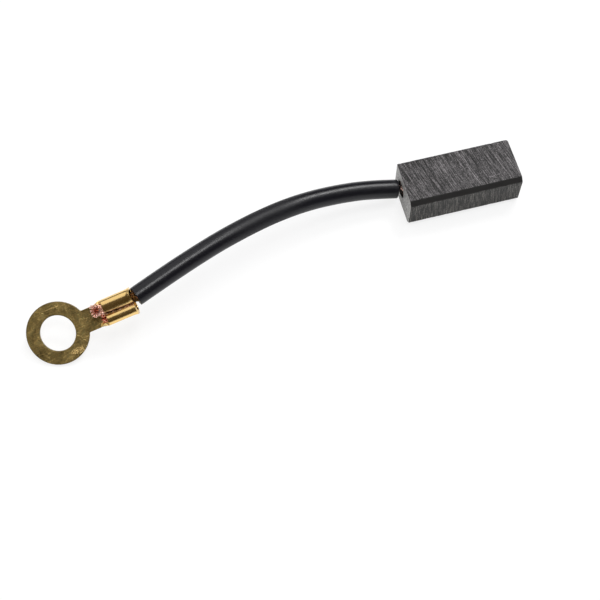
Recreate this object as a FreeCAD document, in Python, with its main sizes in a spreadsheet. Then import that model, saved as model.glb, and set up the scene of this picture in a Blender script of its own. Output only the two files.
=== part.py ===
import FreeCAD, Part
import math
import os
import Sketcher
from FreeCAD import Placement, Rotation, Vector

# Carbon brush with a sleeved flexible and a crimped ring terminal, in millimetres.
# The block's long side runs along X: its contact face looks to +X, the lead leaves at -X.
# The origin is the middle of the block's underside, and everything rests on the plane Z = 0.

os.makedirs("parts", exist_ok=True)
doc = FreeCAD.newDocument("CarbonBrush")

DRIVING_SIZES = [
    ("block_length", 21.2, "carbon block from the lead end to the contact face"),
    ("block_width", 9.0, "carbon block across its broad side"),
    ("block_height", 7.1, "carbon block, thickness"),
    ("long_chamfer", 0.8, "bevel along both long edges of the front side"),
    ("corner_round", 0.5, "rounded upright corner of the contact face, at the back"),
    ("bore_diameter", 3.3, "bore for the flexible in the lead end"),
    ("bore_depth", 8.5, "depth of that bore"),
    ("bore_offset", 1.3, "bore axis behind the block's middle plane"),
    ("tamping_recess", 0.35, "tamping below the face of the lead end"),
    ("tamping_floor", 0.8, "tamping under the end of the flexible"),
    ("conductor_diameter", 2.2, "bunched copper strands"),
    ("sleeve_diameter", 3.5, "insulating sleeve, outside"),
    ("sleeve_clearance", 0.1, "between the strands and the sleeve, on the radius"),
    ("stub_length", 0.2, "straight flexible in front of the lead end"),
    ("stub_bend", 2.5, "radius of the strands' bends outside the sleeve"),
    ("sheet", 0.6, "thickness of the terminal's brass sheet"),
    ("ring_diameter", 11.0, "terminal ring, outside"),
    ("ring_bore", 6.3, "terminal hole, clears an M6 screw"),
    ("tongue_width", 4.05, "flat tongue between ring and barrel"),
    ("tongue_fillet", 0.35, "inside corners where the tongue meets the ring"),
    ("neck_start", 7.5, "from the ring's centre to where the tongue starts to fold up"),
    ("neck_fold", 85.0, "fold of the tongue's sides at the barrel's front, degrees"),
    ("neck_lip", 0.5, "edge of the flat tongue that the fold takes up"),
    ("neck_wall", 0.3, "straight wall above the fold at the barrel's front"),
    ("barrel_start", 8.95, "from the ring's centre to the barrel's front"),
    ("barrel_length", 5.65, "crimped barrel with its bell mouth"),
    ("barrel_width", 4.65, "crimped barrel across both lobes"),
    ("barrel_shift", 0.15, "barrel's middle plane behind the tongue's"),
    ("barrel_tall", 3.0, "crimped barrel from its floor to the lobes' tops"),
    ("floor_bend", 0.6, "inside radius where the barrel's floor turns up"),
    ("wing_gap", 0.04, "between the two wings along the seam"),
    ("wing_tip", 0.55, "straight end of each wing, pressed into the strands"),
    ("bell_length", 0.7, "bell mouth at the barrel's wire end"),
    ("bell_flare", 0.12, "bell mouth, widening on each side"),
    ("strand_clearance", 0.03, "between the crimped strands and the brass"),
    ("wire_end_long", 1.9, "strands past the barrel's front on the back side"),
    ("wire_end_short", 0.5, "strands past the barrel's front on the front side"),
    ("ring_x", -76.35, "ring's centre on its underside"),
    ("ring_y", -11.3, "ring's centre on its underside"),
    ("terminal_yaw", 4.8, "terminal's heading, degrees"),
    ("terminal_pitch", 12.5, "rise of the terminal towards the lead, degrees"),
    ("terminal_roll", 30.8, "lean of the terminal to the front, degrees"),
]

# Middle line of the sleeve, chosen by hand: first point near the block, last near the barrel.
LEAD_POINTS = [
    (-11.4, 1.4, 3.7),
    (-16.4, 2.0, 4.6),
    (-22.4, 1.8, 5.8),
    (-28.4, 1.0, 7.0),
    (-34.3, -0.4, 8.2),
    (-40.1, -2.4, 9.2),
    (-45.7, -4.7, 10.0),
    (-51.4, -7.1, 10.5),
    (-56.9, -9.3, 10.2),
    (-61.6, -10.3, 8.0),
]

ROUNDING_SHARE = 0.45     # part of the shorter run that a corner's arc takes
FIRST_FOLD = 1.0          # fold where the neck starts, degrees, so that both its ends have arcs

# Spreadsheet of the driving sizes

sheet = doc.addObject("Spreadsheet::Sheet", "Sizes")
for row, (alias, value, meaning) in enumerate(DRIVING_SIZES, start=1):
    sheet.set(f"A{row}", alias)
    sheet.set(f"B{row}", str(value))
    sheet.set(f"C{row}", meaning)
    sheet.setAlias(f"B{row}", alias)
doc.recompute()


def size(alias):
    """Value of a driving size."""
    return float(getattr(sheet, alias))


# Helpers for sketches and bodies

def new_body(label):
    body = doc.addObject("PartDesign::Body", label + "_body")
    body.Label = label
    return body


def plane_of(body, role):
    return next(item for item in body.Origin.OriginFeatures if item.Role == role)


def new_sketch(body, name, role):
    sketch = body.newObject("Sketcher::SketchObject", name)
    sketch.AttachmentSupport = [(plane_of(body, role), "")]
    sketch.MapMode = "FlatFace"
    return sketch


def bind(item, constraint, expression):
    """Tie a named constraint of a sketch to the spreadsheet."""
    item.setExpression("Constraints." + constraint, expression)


def add_named(sketch, name, *constraint):
    index = sketch.addConstraint(Sketcher.Constraint(*constraint))
    sketch.renameConstraint(index, name)


# Carbon block: end profile with two bevels, padded along the block, then the bore

def build_block():
    length = size("block_length")
    half_width = size("block_width") / 2
    tall = size("block_height")
    bevel = size("long_chamfer")
    body = new_body("carbon_block")

    profile = new_sketch(body, "end_profile", "YZ_Plane")
    profile.setExpression("AttachmentOffset.Base.z", "-Sizes.block_length / 2")
    corners = [
        Vector(-half_width + bevel, 0, 0),
        Vector(half_width, 0, 0),
        Vector(half_width, tall, 0),
        Vector(-half_width + bevel, tall, 0),
        Vector(-half_width, tall - bevel, 0),
        Vector(-half_width, bevel, 0),
    ]
    count = len(corners)
    for index, corner in enumerate(corners):
        profile.addGeometry(Part.LineSegment(corner, corners[(index + 1) % count]), False)
    for index in range(count):
        profile.addConstraint(Sketcher.Constraint("Coincident", index, 2, (index + 1) % count, 1))
    for kind, line in (("Horizontal", 0), ("Vertical", 1), ("Horizontal", 2), ("Vertical", 4)):
        profile.addConstraint(Sketcher.Constraint(kind, line))
    profile.addConstraint(Sketcher.Constraint("PointOnObject", 0, 1, -1))
    add_named(profile, "back", "DistanceX", -1, 1, 0, 2, half_width)
    add_named(profile, "tall", "DistanceY", 0, 2, 1, 2, tall)
    add_named(profile, "width", "DistanceX", 4, 1, 1, 2, 2 * half_width)
    add_named(profile, "upper_run", "DistanceX", 4, 1, 3, 1, bevel)
    add_named(profile, "upper_drop", "DistanceY", 4, 1, 3, 1, bevel)
    add_named(profile, "lower_run", "DistanceX", 4, 2, 0, 1, bevel)
    add_named(profile, "lower_rise", "DistanceY", 0, 1, 4, 2, bevel)
    bind(profile, "back", "Sizes.block_width / 2")
    bind(profile, "tall", "Sizes.block_height")
    bind(profile, "width", "Sizes.block_width")
    for name in ("upper_run", "upper_drop", "lower_run", "lower_rise"):
        bind(profile, name, "Sizes.long_chamfer")

    bar = body.newObject("PartDesign::Pad", "bar")
    bar.Profile = profile
    bar.setExpression("Length", "Sizes.block_length")
    doc.recompute()

    upright = [
        f"Edge{index}" for index, edge in enumerate(bar.Shape.Edges, start=1)
        if abs(edge.CenterOfMass.x - length / 2) < 1e-6
        and abs(edge.CenterOfMass.y - half_width) < 1e-6
    ]
    corner = body.newObject("PartDesign::Fillet", "contact_corner")
    corner.Base = (bar, upright)
    corner.setExpression("Radius", "Sizes.corner_round")

    mouth = new_sketch(body, "bore_mouth", "YZ_Plane")
    mouth.setExpression("AttachmentOffset.Base.z", "-Sizes.block_length / 2")
    centre = Vector(size("bore_offset"), tall / 2, 0)
    mouth.addGeometry(Part.Circle(centre, Vector(0, 0, 1), size("bore_diameter") / 2), False)
    add_named(mouth, "diameter", "Diameter", 0, size("bore_diameter"))
    add_named(mouth, "offset", "DistanceX", -1, 1, 0, 3, size("bore_offset"))
    add_named(mouth, "rise", "DistanceY", -1, 1, 0, 3, tall / 2)
    bind(mouth, "diameter", "Sizes.bore_diameter")
    bind(mouth, "offset", "Sizes.bore_offset")
    bind(mouth, "rise", "Sizes.block_height / 2")

    bore = body.newObject("PartDesign::Pocket", "flexible_bore")
    bore.Profile = mouth
    bore.Reversed = True
    bore.setExpression("Length", "Sizes.bore_depth")
    doc.recompute()
    drilled = corner.Shape.Volume - bore.Shape.Volume
    expected = math.pi * size("bore_diameter") ** 2 / 4 * size("bore_depth")
    if abs(drilled - expected) > 0.01 * expected:
        raise ValueError("the bore of the carbon block isn't cut")
    return body


# Tamping: the plug of conductive powder that holds the flexible in its bore

def build_tamping():
    plug = doc.addObject("Part::Cylinder", "tamping_plug")
    plug.setExpression("Radius", "Sizes.bore_diameter / 2")
    plug.setExpression("Height", "Sizes.bore_depth - Sizes.tamping_recess")
    socket = doc.addObject("Part::Cylinder", "flexible_socket")
    socket.setExpression("Radius", "Sizes.conductor_diameter / 2")
    socket.setExpression("Height", "Sizes.bore_depth - Sizes.tamping_recess - Sizes.tamping_floor")
    tamping = doc.addObject("Part::Cut", "tamping_cut")
    tamping.Label = "tamping"
    tamping.Base = plug
    tamping.Tool = socket
    tamping.Placement = Placement(Vector(0, 0, 0), Rotation(Vector(0, 1, 0), 90))
    tamping.setExpression("Placement.Base.x", "-Sizes.block_length / 2 + Sizes.tamping_recess")
    tamping.setExpression("Placement.Base.y", "Sizes.bore_offset")
    tamping.setExpression("Placement.Base.z", "Sizes.block_height / 2")
    return tamping


# Ring terminal in its own frame: ring centre at the origin, underside at Z = 0, barrel along +X

def terminal_placement():
    """Where the terminal lies: the lower edge of its ring touches the plane Z = 0."""
    turn = Rotation(size("terminal_yaw"), -size("terminal_pitch"), size("terminal_roll"))
    normal = turn.multVec(Vector(0, 0, 1))
    lift = size("ring_diameter") / 2 * math.sqrt(1 - normal.z ** 2)
    return Placement(Vector(size("ring_x"), size("ring_y"), lift), turn)


def build_blank():
    """Flat ring with its hole and the tongue up to the neck."""
    body = new_body("terminal_blank")
    radius = size("ring_diameter") / 2
    half_tongue = size("tongue_width") / 2
    tongue_end = size("neck_start")

    outline = new_sketch(body, "ring_outline", "XY_Plane")
    outline.addGeometry(Part.Circle(Vector(0, 0, 0), Vector(0, 0, 1), radius), False)
    outline.addGeometry(Part.Circle(Vector(0, 0, 0), Vector(0, 0, 1), size("ring_bore") / 2), False)
    for circle in (0, 1):
        outline.addConstraint(Sketcher.Constraint("Coincident", circle, 3, -1, 1))
    add_named(outline, "outside", "Diameter", 0, 2 * radius)
    add_named(outline, "hole", "Diameter", 1, size("ring_bore"))
    bind(outline, "outside", "Sizes.ring_diameter")
    bind(outline, "hole", "Sizes.ring_bore")
    ring = body.newObject("PartDesign::Pad", "ring")
    ring.Profile = outline
    ring.setExpression("Length", "Sizes.sheet")

    strip = new_sketch(body, "tongue_outline", "XY_Plane")
    root = (size("ring_bore") / 2 + radius) / 2
    corners = [
        Vector(root, -half_tongue, 0),
        Vector(tongue_end, -half_tongue, 0),
        Vector(tongue_end, half_tongue, 0),
        Vector(root, half_tongue, 0),
    ]
    for index, point in enumerate(corners):
        strip.addGeometry(Part.LineSegment(point, corners[(index + 1) % 4]), False)
    for index in range(4):
        strip.addConstraint(Sketcher.Constraint("Coincident", index, 2, (index + 1) % 4, 1))
    for kind, line in (("Horizontal", 0), ("Horizontal", 2), ("Vertical", 3)):
        strip.addConstraint(Sketcher.Constraint(kind, line))
    strip.addConstraint(Sketcher.Constraint("Symmetric", 1, 1, 1, 2, -1))
    add_named(strip, "width", "DistanceY", 1, 1, 1, 2, 2 * half_tongue)
    add_named(strip, "reach", "DistanceX", -1, 1, 1, 1, tongue_end)
    add_named(strip, "root", "DistanceX", -1, 1, 0, 1, root)
    bind(strip, "width", "Sizes.tongue_width")
    bind(strip, "reach", "Sizes.neck_start")
    bind(strip, "root", "(Sizes.ring_bore / 2 + Sizes.ring_diameter / 2) / 2")
    tongue = body.newObject("PartDesign::Pad", "tongue")
    tongue.Profile = strip
    tongue.setExpression("Length", "Sizes.sheet")
    doc.recompute()

    meeting = math.sqrt(radius ** 2 - half_tongue ** 2)
    inside_corners = [
        f"Edge{index}" for index, edge in enumerate(tongue.Shape.Edges, start=1)
        if abs(edge.CenterOfMass.x - meeting) < 1e-4
        and abs(abs(edge.CenterOfMass.y) - half_tongue) < 1e-4
    ]
    if len(inside_corners) != 2:
        raise ValueError("the tongue's inside corners aren't found")
    fillet = body.newObject("PartDesign::Fillet", "tongue_corners")
    fillet.Base = (tongue, inside_corners)
    fillet.setExpression("Radius", "Sizes.tongue_fillet")
    doc.recompute()
    return body


def arc_about(centre, radius, start_angle, end_angle):
    """Arc in the section plane (Y to the side, Z up), angles in degrees from +Y."""
    middle = (start_angle + end_angle) / 2

    def at(angle):
        turn = math.radians(angle)
        return Vector(0, centre[0] + radius * math.cos(turn), centre[1] + radius * math.sin(turn))

    return Part.Arc(at(start_angle), at(middle), at(end_angle)).toShape()


def joined(edges):
    """Closed wire of edges given in order, with straight runs across the gaps between them."""
    chain = []
    for index, edge in enumerate(edges):
        chain.append(edge)
        start = edge.lastVertex(True).Point
        end = edges[(index + 1) % len(edges)].firstVertex(True).Point
        if start.distanceToPoint(end) > 1e-6:
            chain.append(Part.LineSegment(start, end).toShape())
    return Part.Wire(chain)


def mirrored(edges):
    """The same edges on the other side of the middle plane, in the order that closes the outline."""
    flipped = []
    for edge in reversed(edges):
        points = [
            edge.valueAt(edge.LastParameter),
            edge.valueAt((edge.FirstParameter + edge.LastParameter) / 2),
            edge.valueAt(edge.FirstParameter),
        ]
        other = [Vector(point.x, -point.y, point.z) for point in points]
        if edge.Curve.TypeId == "Part::GeomLine":
            flipped.append(Part.LineSegment(other[0], other[2]).toShape())
        else:
            flipped.append(Part.Arc(*other).toShape())
    return flipped


def straight(start, end):
    return Part.LineSegment(Vector(0, *start), Vector(0, *end)).toShape()


class CrimpSection:
    """Named places on the barrel's section: two lobes with a seam between them."""

    def __init__(self, flare=0.0):
        self.thick = size("sheet")
        self.shift = size("barrel_shift")
        self.side = size("barrel_width") / 2 + flare
        self.inner_bend = size("floor_bend")
        self.outer_bend = self.inner_bend + self.thick
        self.bend_y = self.side - self.outer_bend
        self.bend_z = self.outer_bend
        self.seam = size("wing_gap") / 2 + flare / 2
        self.lobe = (self.side - self.seam) / 2
        self.lobe_y = self.side - self.lobe
        self.lobe_z = size("barrel_tall") + flare - self.lobe
        self.tip_z = self.lobe_z - size("wing_tip") + flare

    def brass(self):
        """Closed outline of the folded sheet."""
        inner_lobe = self.lobe - self.thick
        outside = [
            arc_about((self.bend_y, self.bend_z), self.outer_bend, -90, 0),
            arc_about((self.lobe_y, self.lobe_z), self.lobe, 0, 180),
            straight((self.seam, self.lobe_z), (self.seam, self.tip_z)),
            straight((self.seam, self.tip_z), (self.seam + self.thick, self.tip_z)),
            straight((self.seam + self.thick, self.tip_z), (self.seam + self.thick, self.lobe_z)),
            arc_about((self.lobe_y, self.lobe_z), inner_lobe, 180, 0),
            arc_about((self.bend_y, self.bend_z), self.inner_bend, 0, -90),
        ]
        return joined(outside + mirrored(outside))

    def strands(self):
        """Closed outline of the strands, which fill the folded sheet with a clearance."""
        gap = size("strand_clearance")
        bend = self.inner_bend - gap
        lobe = self.lobe - self.thick - gap
        tip_side = self.seam + self.thick + gap
        outline = [
            arc_about((self.bend_y, self.bend_z), bend, -90, 0),
            arc_about((self.lobe_y, self.lobe_z), lobe, 0, 180),
            straight((tip_side, self.lobe_z), (tip_side, self.tip_z - gap)),
        ]
        return joined(outline + mirrored(outline))


def moved(wire, distance, across=0.0):
    copy = wire.copy()
    copy.translate(Vector(distance, across, 0))
    return copy


def folded_strip(half_floor, inner_bend, fold, leg):
    """Section of the sheet with both sides folded up by an angle, for the neck's two ends."""
    thick = size("sheet")
    outer_bend = inner_bend + thick
    centre = (half_floor, outer_bend)
    turn = math.radians(fold)
    along = (math.cos(turn) * leg, math.sin(turn) * leg)

    def end_of(radius):
        return (centre[0] + radius * math.sin(turn), centre[1] - radius * math.cos(turn))

    outer_end = end_of(outer_bend)
    inner_end = end_of(inner_bend)
    outer_tip = (outer_end[0] + along[0], outer_end[1] + along[1])
    inner_tip = (inner_end[0] + along[0], inner_end[1] + along[1])
    outline = [
        arc_about(centre, outer_bend, -90, -90 + fold),
        straight(outer_end, outer_tip),
        straight(outer_tip, inner_tip),
        straight(inner_tip, inner_end),
        arc_about(centre, inner_bend, -90 + fold, -90),
    ]
    return joined(outline + mirrored(outline))


def build_neck(section):
    """Short piece where the flat tongue folds up into the barrel's floor and sides."""
    lip = size("neck_lip")
    bend_run = section.outer_bend * math.sin(math.radians(FIRST_FOLD))
    flat_floor = size("tongue_width") / 2 - lip - bend_run
    flat = folded_strip(flat_floor, section.inner_bend, FIRST_FOLD, lip)
    risen = folded_strip(section.bend_y, section.inner_bend, size("neck_fold"), size("neck_wall"))
    half_risen = folded_strip(
        (flat_floor + section.bend_y) / 2, section.inner_bend,
        (FIRST_FOLD + size("neck_fold")) / 2, (lip + size("neck_wall")) / 2,
    )
    neck = doc.addObject("Part::Feature", "neck")
    start, end = size("neck_start"), size("barrel_start")
    sections = [
        moved(flat, start),
        moved(half_risen, (start + end) / 2, section.shift / 2),
        moved(risen, end, section.shift),
    ]
    neck.Shape = Part.makeLoft(sections, True, True)
    return neck


def build_extrusion(name, wire, length):
    """Solid of a closed outline pushed along +X, its length tied to the spreadsheet."""
    outline = doc.addObject("Part::Feature", name + "_outline")
    outline.Shape = Part.Face(wire)
    solid = doc.addObject("Part::Extrusion", name)
    solid.Base = outline
    solid.DirMode = "Custom"
    solid.Dir = Vector(1, 0, 0)
    solid.Solid = True
    solid.setExpression("LengthFwd", length)
    return solid


def build_bell(section, bell):
    mouth = doc.addObject("Part::Feature", "bell_mouth")
    end = size("barrel_start") + size("barrel_length")
    narrow = moved(section.brass(), end - size("bell_length"), section.shift)
    mouth.Shape = Part.makeLoft([narrow, moved(bell.brass(), end, bell.shift)], True, True)
    return mouth


def build_terminal(section, bell):
    terminal = doc.addObject("Part::MultiFuse", "terminal_fuse")
    terminal.Label = "ring_terminal"
    barrel = build_extrusion(
        "barrel", moved(section.brass(), size("barrel_start"), section.shift),
        "Sizes.barrel_length - Sizes.bell_length",
    )
    terminal.Shapes = [build_blank(), build_neck(section), barrel, build_bell(section, bell)]
    terminal.Refine = True
    terminal.Placement = terminal_placement()
    return terminal


# Flexible: bunched strands from the bore to the crimp, and the sleeve over them

def rounded_route(points, radii=None):
    """Straight runs joined by tangent arcs; radii gives a corner its own radius."""
    edges = []
    start = points[0]
    for index in range(1, len(points) - 1):
        before, corner, after = points[index - 1], points[index], points[index + 1]
        back = before.sub(corner).normalize()
        ahead = after.sub(corner).normalize()
        half_turn = (math.pi - back.getAngle(ahead)) / 2
        shorter = min(before.distanceToPoint(corner), after.distanceToPoint(corner))
        radius = ROUNDING_SHARE * shorter / math.tan(half_turn)
        if radii and index in radii:
            radius = radii[index]
        cut = radius * math.tan(half_turn)
        enter = corner.add(Vector(back).multiply(cut))
        leave = corner.add(Vector(ahead).multiply(cut))
        inward = Vector(back).add(ahead).normalize()
        bulge = radius / math.cos(half_turn) - radius
        middle = corner.add(Vector(inward).multiply(bulge))
        edges.append(Part.LineSegment(start, enter).toShape())
        edges.append(Part.Arc(enter, middle, leave).toShape())
        print(f"corner {index}: turn {math.degrees(2 * half_turn):.1f} degrees, radius {radius:.1f} mm")
        start = leave
    edges.append(Part.LineSegment(start, points[-1]).toShape())
    return Part.Wire(edges)


def swept_rod(route, diameter):
    """Round rod along a route."""
    start = route.Edges[0]
    heading = start.tangentAt(start.FirstParameter)
    circle = Part.Circle(start.valueAt(start.FirstParameter), heading, diameter / 2)
    return route.makePipeShell([Part.Wire(circle.toShape())], True, True)


def check_rod(name, solid, route, area):
    share = solid.Volume / (area * route.Length)
    print(f"{name}: route {route.Length:.2f} mm, volume {share:.4f} of section times length")
    if abs(share - 1) > 0.01:
        raise ValueError(f"{name}: the sweep doesn't fill its route")


def build_sleeve():
    route = rounded_route([Vector(*point) for point in LEAD_POINTS])
    outside = size("sleeve_diameter")
    inside = size("conductor_diameter") + 2 * size("sleeve_clearance")
    tube = swept_rod(route, outside).cut(swept_rod(route, inside))
    check_rod("sleeve", tube, route, math.pi * (outside ** 2 - inside ** 2) / 4)
    sleeve = doc.addObject("Part::Feature", "sleeve_tube")
    sleeve.Label = "insulating_sleeve"
    sleeve.Shape = tube
    return sleeve


def gathered_strands(centre, heading, pressed, place):
    """Strands between the round end of the flexible and the barrel's mouth."""
    across = place.Rotation.multVec(Vector(0, 1, 0))
    across = across.sub(Vector(heading).multiply(across.dot(heading))).normalize()
    upward = across.cross(heading)
    if upward.dot(place.Rotation.multVec(Vector(0, 0, 1))) < 0:
        upward = upward.negative()
    radius = size("conductor_diameter") / 2
    runs = [edge.Length for edge in pressed.OrderedEdges]
    bottom = runs[-1]
    start = -math.pi / 2 + math.pi * bottom / sum(runs)

    def at(travelled):
        angle = start + 2 * math.pi * travelled / sum(runs)
        side = Vector(across).multiply(radius * math.cos(angle))
        return centre.add(side).add(Vector(upward).multiply(radius * math.sin(angle)))

    arcs = []
    travelled = 0.0
    for run in runs:
        arcs.append(Part.Arc(at(travelled), at(travelled + run / 2), at(travelled + run)).toShape())
        travelled += run
    return Part.makeLoft([Part.Wire(arcs), pressed], True, True)


def build_flexible(bell):
    """Round strands from the bore to the sleeve's end, then gathered to the barrel's mouth."""
    lead_end = -size("block_length") / 2
    axis = (size("bore_offset"), size("block_height") / 2)
    buried = size("bore_depth") - size("tamping_floor")
    points = [Vector(lead_end + buried, *axis), Vector(lead_end - size("stub_length"), *axis)]
    points += [Vector(*point) for point in LEAD_POINTS[1:]]
    route = rounded_route(points, {1: size("stub_bend")})
    diameter = size("conductor_diameter")
    rod = swept_rod(route, diameter)
    check_rod("flexible", rod, route, math.pi * diameter ** 2 / 4)

    place = terminal_placement()
    pressed = moved(bell.strands(), size("barrel_start") + size("barrel_length"), bell.shift)
    pressed.Placement = place.multiply(pressed.Placement)
    end = route.Edges[-1]
    round_end = end.valueAt(end.LastParameter)
    gathered = gathered_strands(round_end, end.tangentAt(end.LastParameter), pressed, place)
    flexible = doc.addObject("Part::Feature", "round_flexible")
    flexible.Shape = rod.fuse(gathered)
    return flexible


def build_crimped_strands(section, bell):
    """Strands pressed to the barrel's inside, and their cut end over the tongue."""
    front = size("barrel_start")
    gap = size("strand_clearance")
    longest = size("wire_end_long")
    shortest = size("wire_end_short")
    pressed = build_extrusion(
        "pressed_strands", moved(section.strands(), front - longest, section.shift),
        "Sizes.barrel_length - Sizes.bell_length + Sizes.wire_end_long",
    )
    end = front + size("barrel_length")
    spread = doc.addObject("Part::Feature", "spread_strands")
    narrow = moved(section.strands(), end - size("bell_length"), section.shift)
    spread.Shape = Part.makeLoft([narrow, moved(bell.strands(), end, bell.shift)], True, True)
    strands = doc.addObject("Part::MultiFuse", "strands_in_barrel")
    strands.Shapes = [pressed, spread]

    half = section.side - section.thick - gap
    back_side, front_side = section.shift + half, section.shift - half
    beyond = front - longest - half
    slanted = Part.makePolygon([
        Vector(front - longest, back_side, 0),
        Vector(front - shortest, front_side, 0),
        Vector(beyond, front_side, 0),
        Vector(beyond, back_side, 0),
        Vector(front - longest, back_side, 0),
    ])
    cutter = doc.addObject("Part::Feature", "slanted_cut")
    cutter.Shape = Part.Face(slanted).extrude(Vector(0, 0, size("barrel_tall")))
    trimmed = doc.addObject("Part::Cut", "trimmed_strands")
    trimmed.Base = strands
    trimmed.Tool = cutter
    trimmed.Placement = terminal_placement()
    return trimmed


def build_conductor(section, bell):
    conductor = doc.addObject("Part::MultiFuse", "conductor_fuse")
    conductor.Label = "copper_flexible"
    conductor.Shapes = [build_flexible(bell), build_crimped_strands(section, bell)]
    return conductor


# The five pieces

crimp = CrimpSection()
bell_end = CrimpSection(size("bell_flare"))
pieces = [
    build_block(),
    build_tamping(),
    build_sleeve(),
    build_conductor(crimp, bell_end),
    build_terminal(crimp, bell_end),
]
doc.recompute()

for item in doc.Objects:
    if "Invalid" in item.State or "Error" in item.State:
        raise ValueError(f"{item.Label}: state {item.State}")
for piece in pieces:
    shape = piece.Shape
    if shape.isNull() or not shape.isValid() or len(shape.Solids) != 1:
        raise ValueError(f"{piece.Label}: not one valid solid")
    box = shape.BoundBox
    print(f"{piece.Label}: {shape.Volume:.2f} cubic mm, Z from {box.ZMin:.3f} to {box.ZMax:.3f}")
    shape.exportStep(f"parts/{piece.Label}.step")
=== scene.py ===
import math
import random

import bmesh
import bpy
from mathutils import Matrix, Quaternion, Vector, noise


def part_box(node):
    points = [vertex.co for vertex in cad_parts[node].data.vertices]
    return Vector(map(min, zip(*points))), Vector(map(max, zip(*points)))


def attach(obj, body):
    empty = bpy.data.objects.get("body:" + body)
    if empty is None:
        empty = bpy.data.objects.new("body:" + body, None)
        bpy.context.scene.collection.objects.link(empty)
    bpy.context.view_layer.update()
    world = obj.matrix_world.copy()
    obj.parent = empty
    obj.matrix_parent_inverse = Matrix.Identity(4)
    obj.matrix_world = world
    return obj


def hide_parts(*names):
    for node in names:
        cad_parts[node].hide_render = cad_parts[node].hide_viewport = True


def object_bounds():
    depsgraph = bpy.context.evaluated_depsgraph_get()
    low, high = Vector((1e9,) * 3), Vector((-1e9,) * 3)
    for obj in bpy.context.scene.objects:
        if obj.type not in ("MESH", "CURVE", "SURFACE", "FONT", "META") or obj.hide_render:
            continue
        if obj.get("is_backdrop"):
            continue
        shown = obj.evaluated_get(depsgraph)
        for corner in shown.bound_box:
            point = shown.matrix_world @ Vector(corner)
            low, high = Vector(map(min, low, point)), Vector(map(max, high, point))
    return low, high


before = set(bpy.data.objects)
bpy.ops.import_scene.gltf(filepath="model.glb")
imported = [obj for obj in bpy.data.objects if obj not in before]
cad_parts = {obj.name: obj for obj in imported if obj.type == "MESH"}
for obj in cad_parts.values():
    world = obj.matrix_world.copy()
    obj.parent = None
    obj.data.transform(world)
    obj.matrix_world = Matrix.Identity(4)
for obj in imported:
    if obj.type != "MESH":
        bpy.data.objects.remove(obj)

CAD_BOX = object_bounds()

bl_info = {
    "name": "Carbon brush",
    "version": (1, 0, 0),
    "blender": (4, 5, 0),
    "location": "3D View > Sidebar > Carbon brush",
    "description": "Builds a carbon brush with a sleeved flexible and a crimped ring terminal",
    "category": "Add Mesh",
}

MM = 0.001
UP = Vector((0, 0, 1))
BLOCK_LOW, BLOCK_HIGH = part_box("carbon_block")
TAMPING_LOW, TAMPING_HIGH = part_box("tamping")

# Middle line of the lead's sleeve, from the block to the terminal, in metres. Its arch is a
# little lower than the solid model's, because the sleeve's highlights show a nearly level end.
LEAD_POINTS = [
    (-0.0114, 0.0014, 0.0037),
    (-0.0164, 0.0020, 0.0046),
    (-0.0224, 0.0020, 0.0055),
    (-0.0283, 0.0014, 0.0065),
    (-0.0342, 0.0002, 0.0072),
    (-0.0399, -0.0016, 0.0079),
    (-0.0455, -0.0036, 0.0083),
    (-0.0511, -0.0059, 0.0085),
    (-0.0566, -0.0082, 0.0084),
    (-0.0619, -0.0104, 0.0080),
]

# Points of the flexible inside the block along X, from the bottom of its bore to the mouth
BURIED_AT = (-2.95, -6.5, -9.6, -10.25)

# The barrel's seam: where it starts across the terminal, and how far it drifts to the wire end
SEAM_START = 0.20 * MM
SEAM_DRIFT = -0.40 * MM


# What a user would change: sizes and colours

def span(name, value, description):
    return bpy.props.FloatProperty(
        name=name, description=description, default=value, min=0.0, precision=5, unit="LENGTH",
    )


def place_on(name, value, description):
    return bpy.props.FloatProperty(
        name=name, description=description, default=value, precision=5, unit="LENGTH",
    )


def turn(name, degrees, description):
    return bpy.props.FloatProperty(
        name=name, description=description, default=math.radians(degrees), unit="ROTATION",
    )


def spot(name, value, description):
    return bpy.props.FloatVectorProperty(
        name=name, description=description, default=value, size=3, unit="LENGTH",
        subtype="TRANSLATION",
    )


def tint(name, value, description):
    return bpy.props.FloatVectorProperty(
        name=name, description=description, default=value, size=3, min=0.0, max=1.0,
        subtype="COLOR",
    )


class BlockSettings(bpy.types.PropertyGroup):
    length: span("Length", BLOCK_HIGH.x - BLOCK_LOW.x, "Carbon block along its travel")
    width: span("Width", BLOCK_HIGH.y - BLOCK_LOW.y, "Carbon block across")
    thickness: span("Thickness", BLOCK_HIGH.z - BLOCK_LOW.z, "Carbon block, upright")
    bevel: span("Bevel", 0.8 * MM, "Bevel of both long edges on the front side")
    corner: span("Rounded corner", 0.5 * MM, "Rounded upright corner of the contact face")
    edge: span("Edge break", 0.06 * MM, "Broken sharp edges")
    saw_depth: span("Saw mark depth", 0.022 * MM, "Depth of the saw marks in the sides")
    bore: span("Bore", 3.3 * MM, "Bore for the flexible")
    bore_depth: span("Bore depth", 8.5 * MM, "Depth of the bore for the flexible")
    bore_offset: place_on("Bore offset", 1.3 * MM, "Bore behind the block's middle plane")
    # Each side's colour is partly its finish and partly painted light and shade: the ends lighter,
    # and the narrow sides and bevels darker than the broad sides, by how the lamps fall on them
    broad_colour: tint("Broad sides", (0.0395, 0.0368, 0.0378), "Sawn carbon on the broad sides")
    side_colour: tint("Narrow sides", (0.031, 0.0293, 0.0265), "Sawn carbon on the narrow sides")
    end_colour: tint("Ends", (0.23, 0.226, 0.218), "Ground carbon on both ends")
    bevel_colour: tint("Bevels", (0.010, 0.0096, 0.0096), "Burnished carbon on the bevels")
    tamping_colour: tint("Tamping", (0.045, 0.032, 0.026), "Copper and graphite powder")


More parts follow.
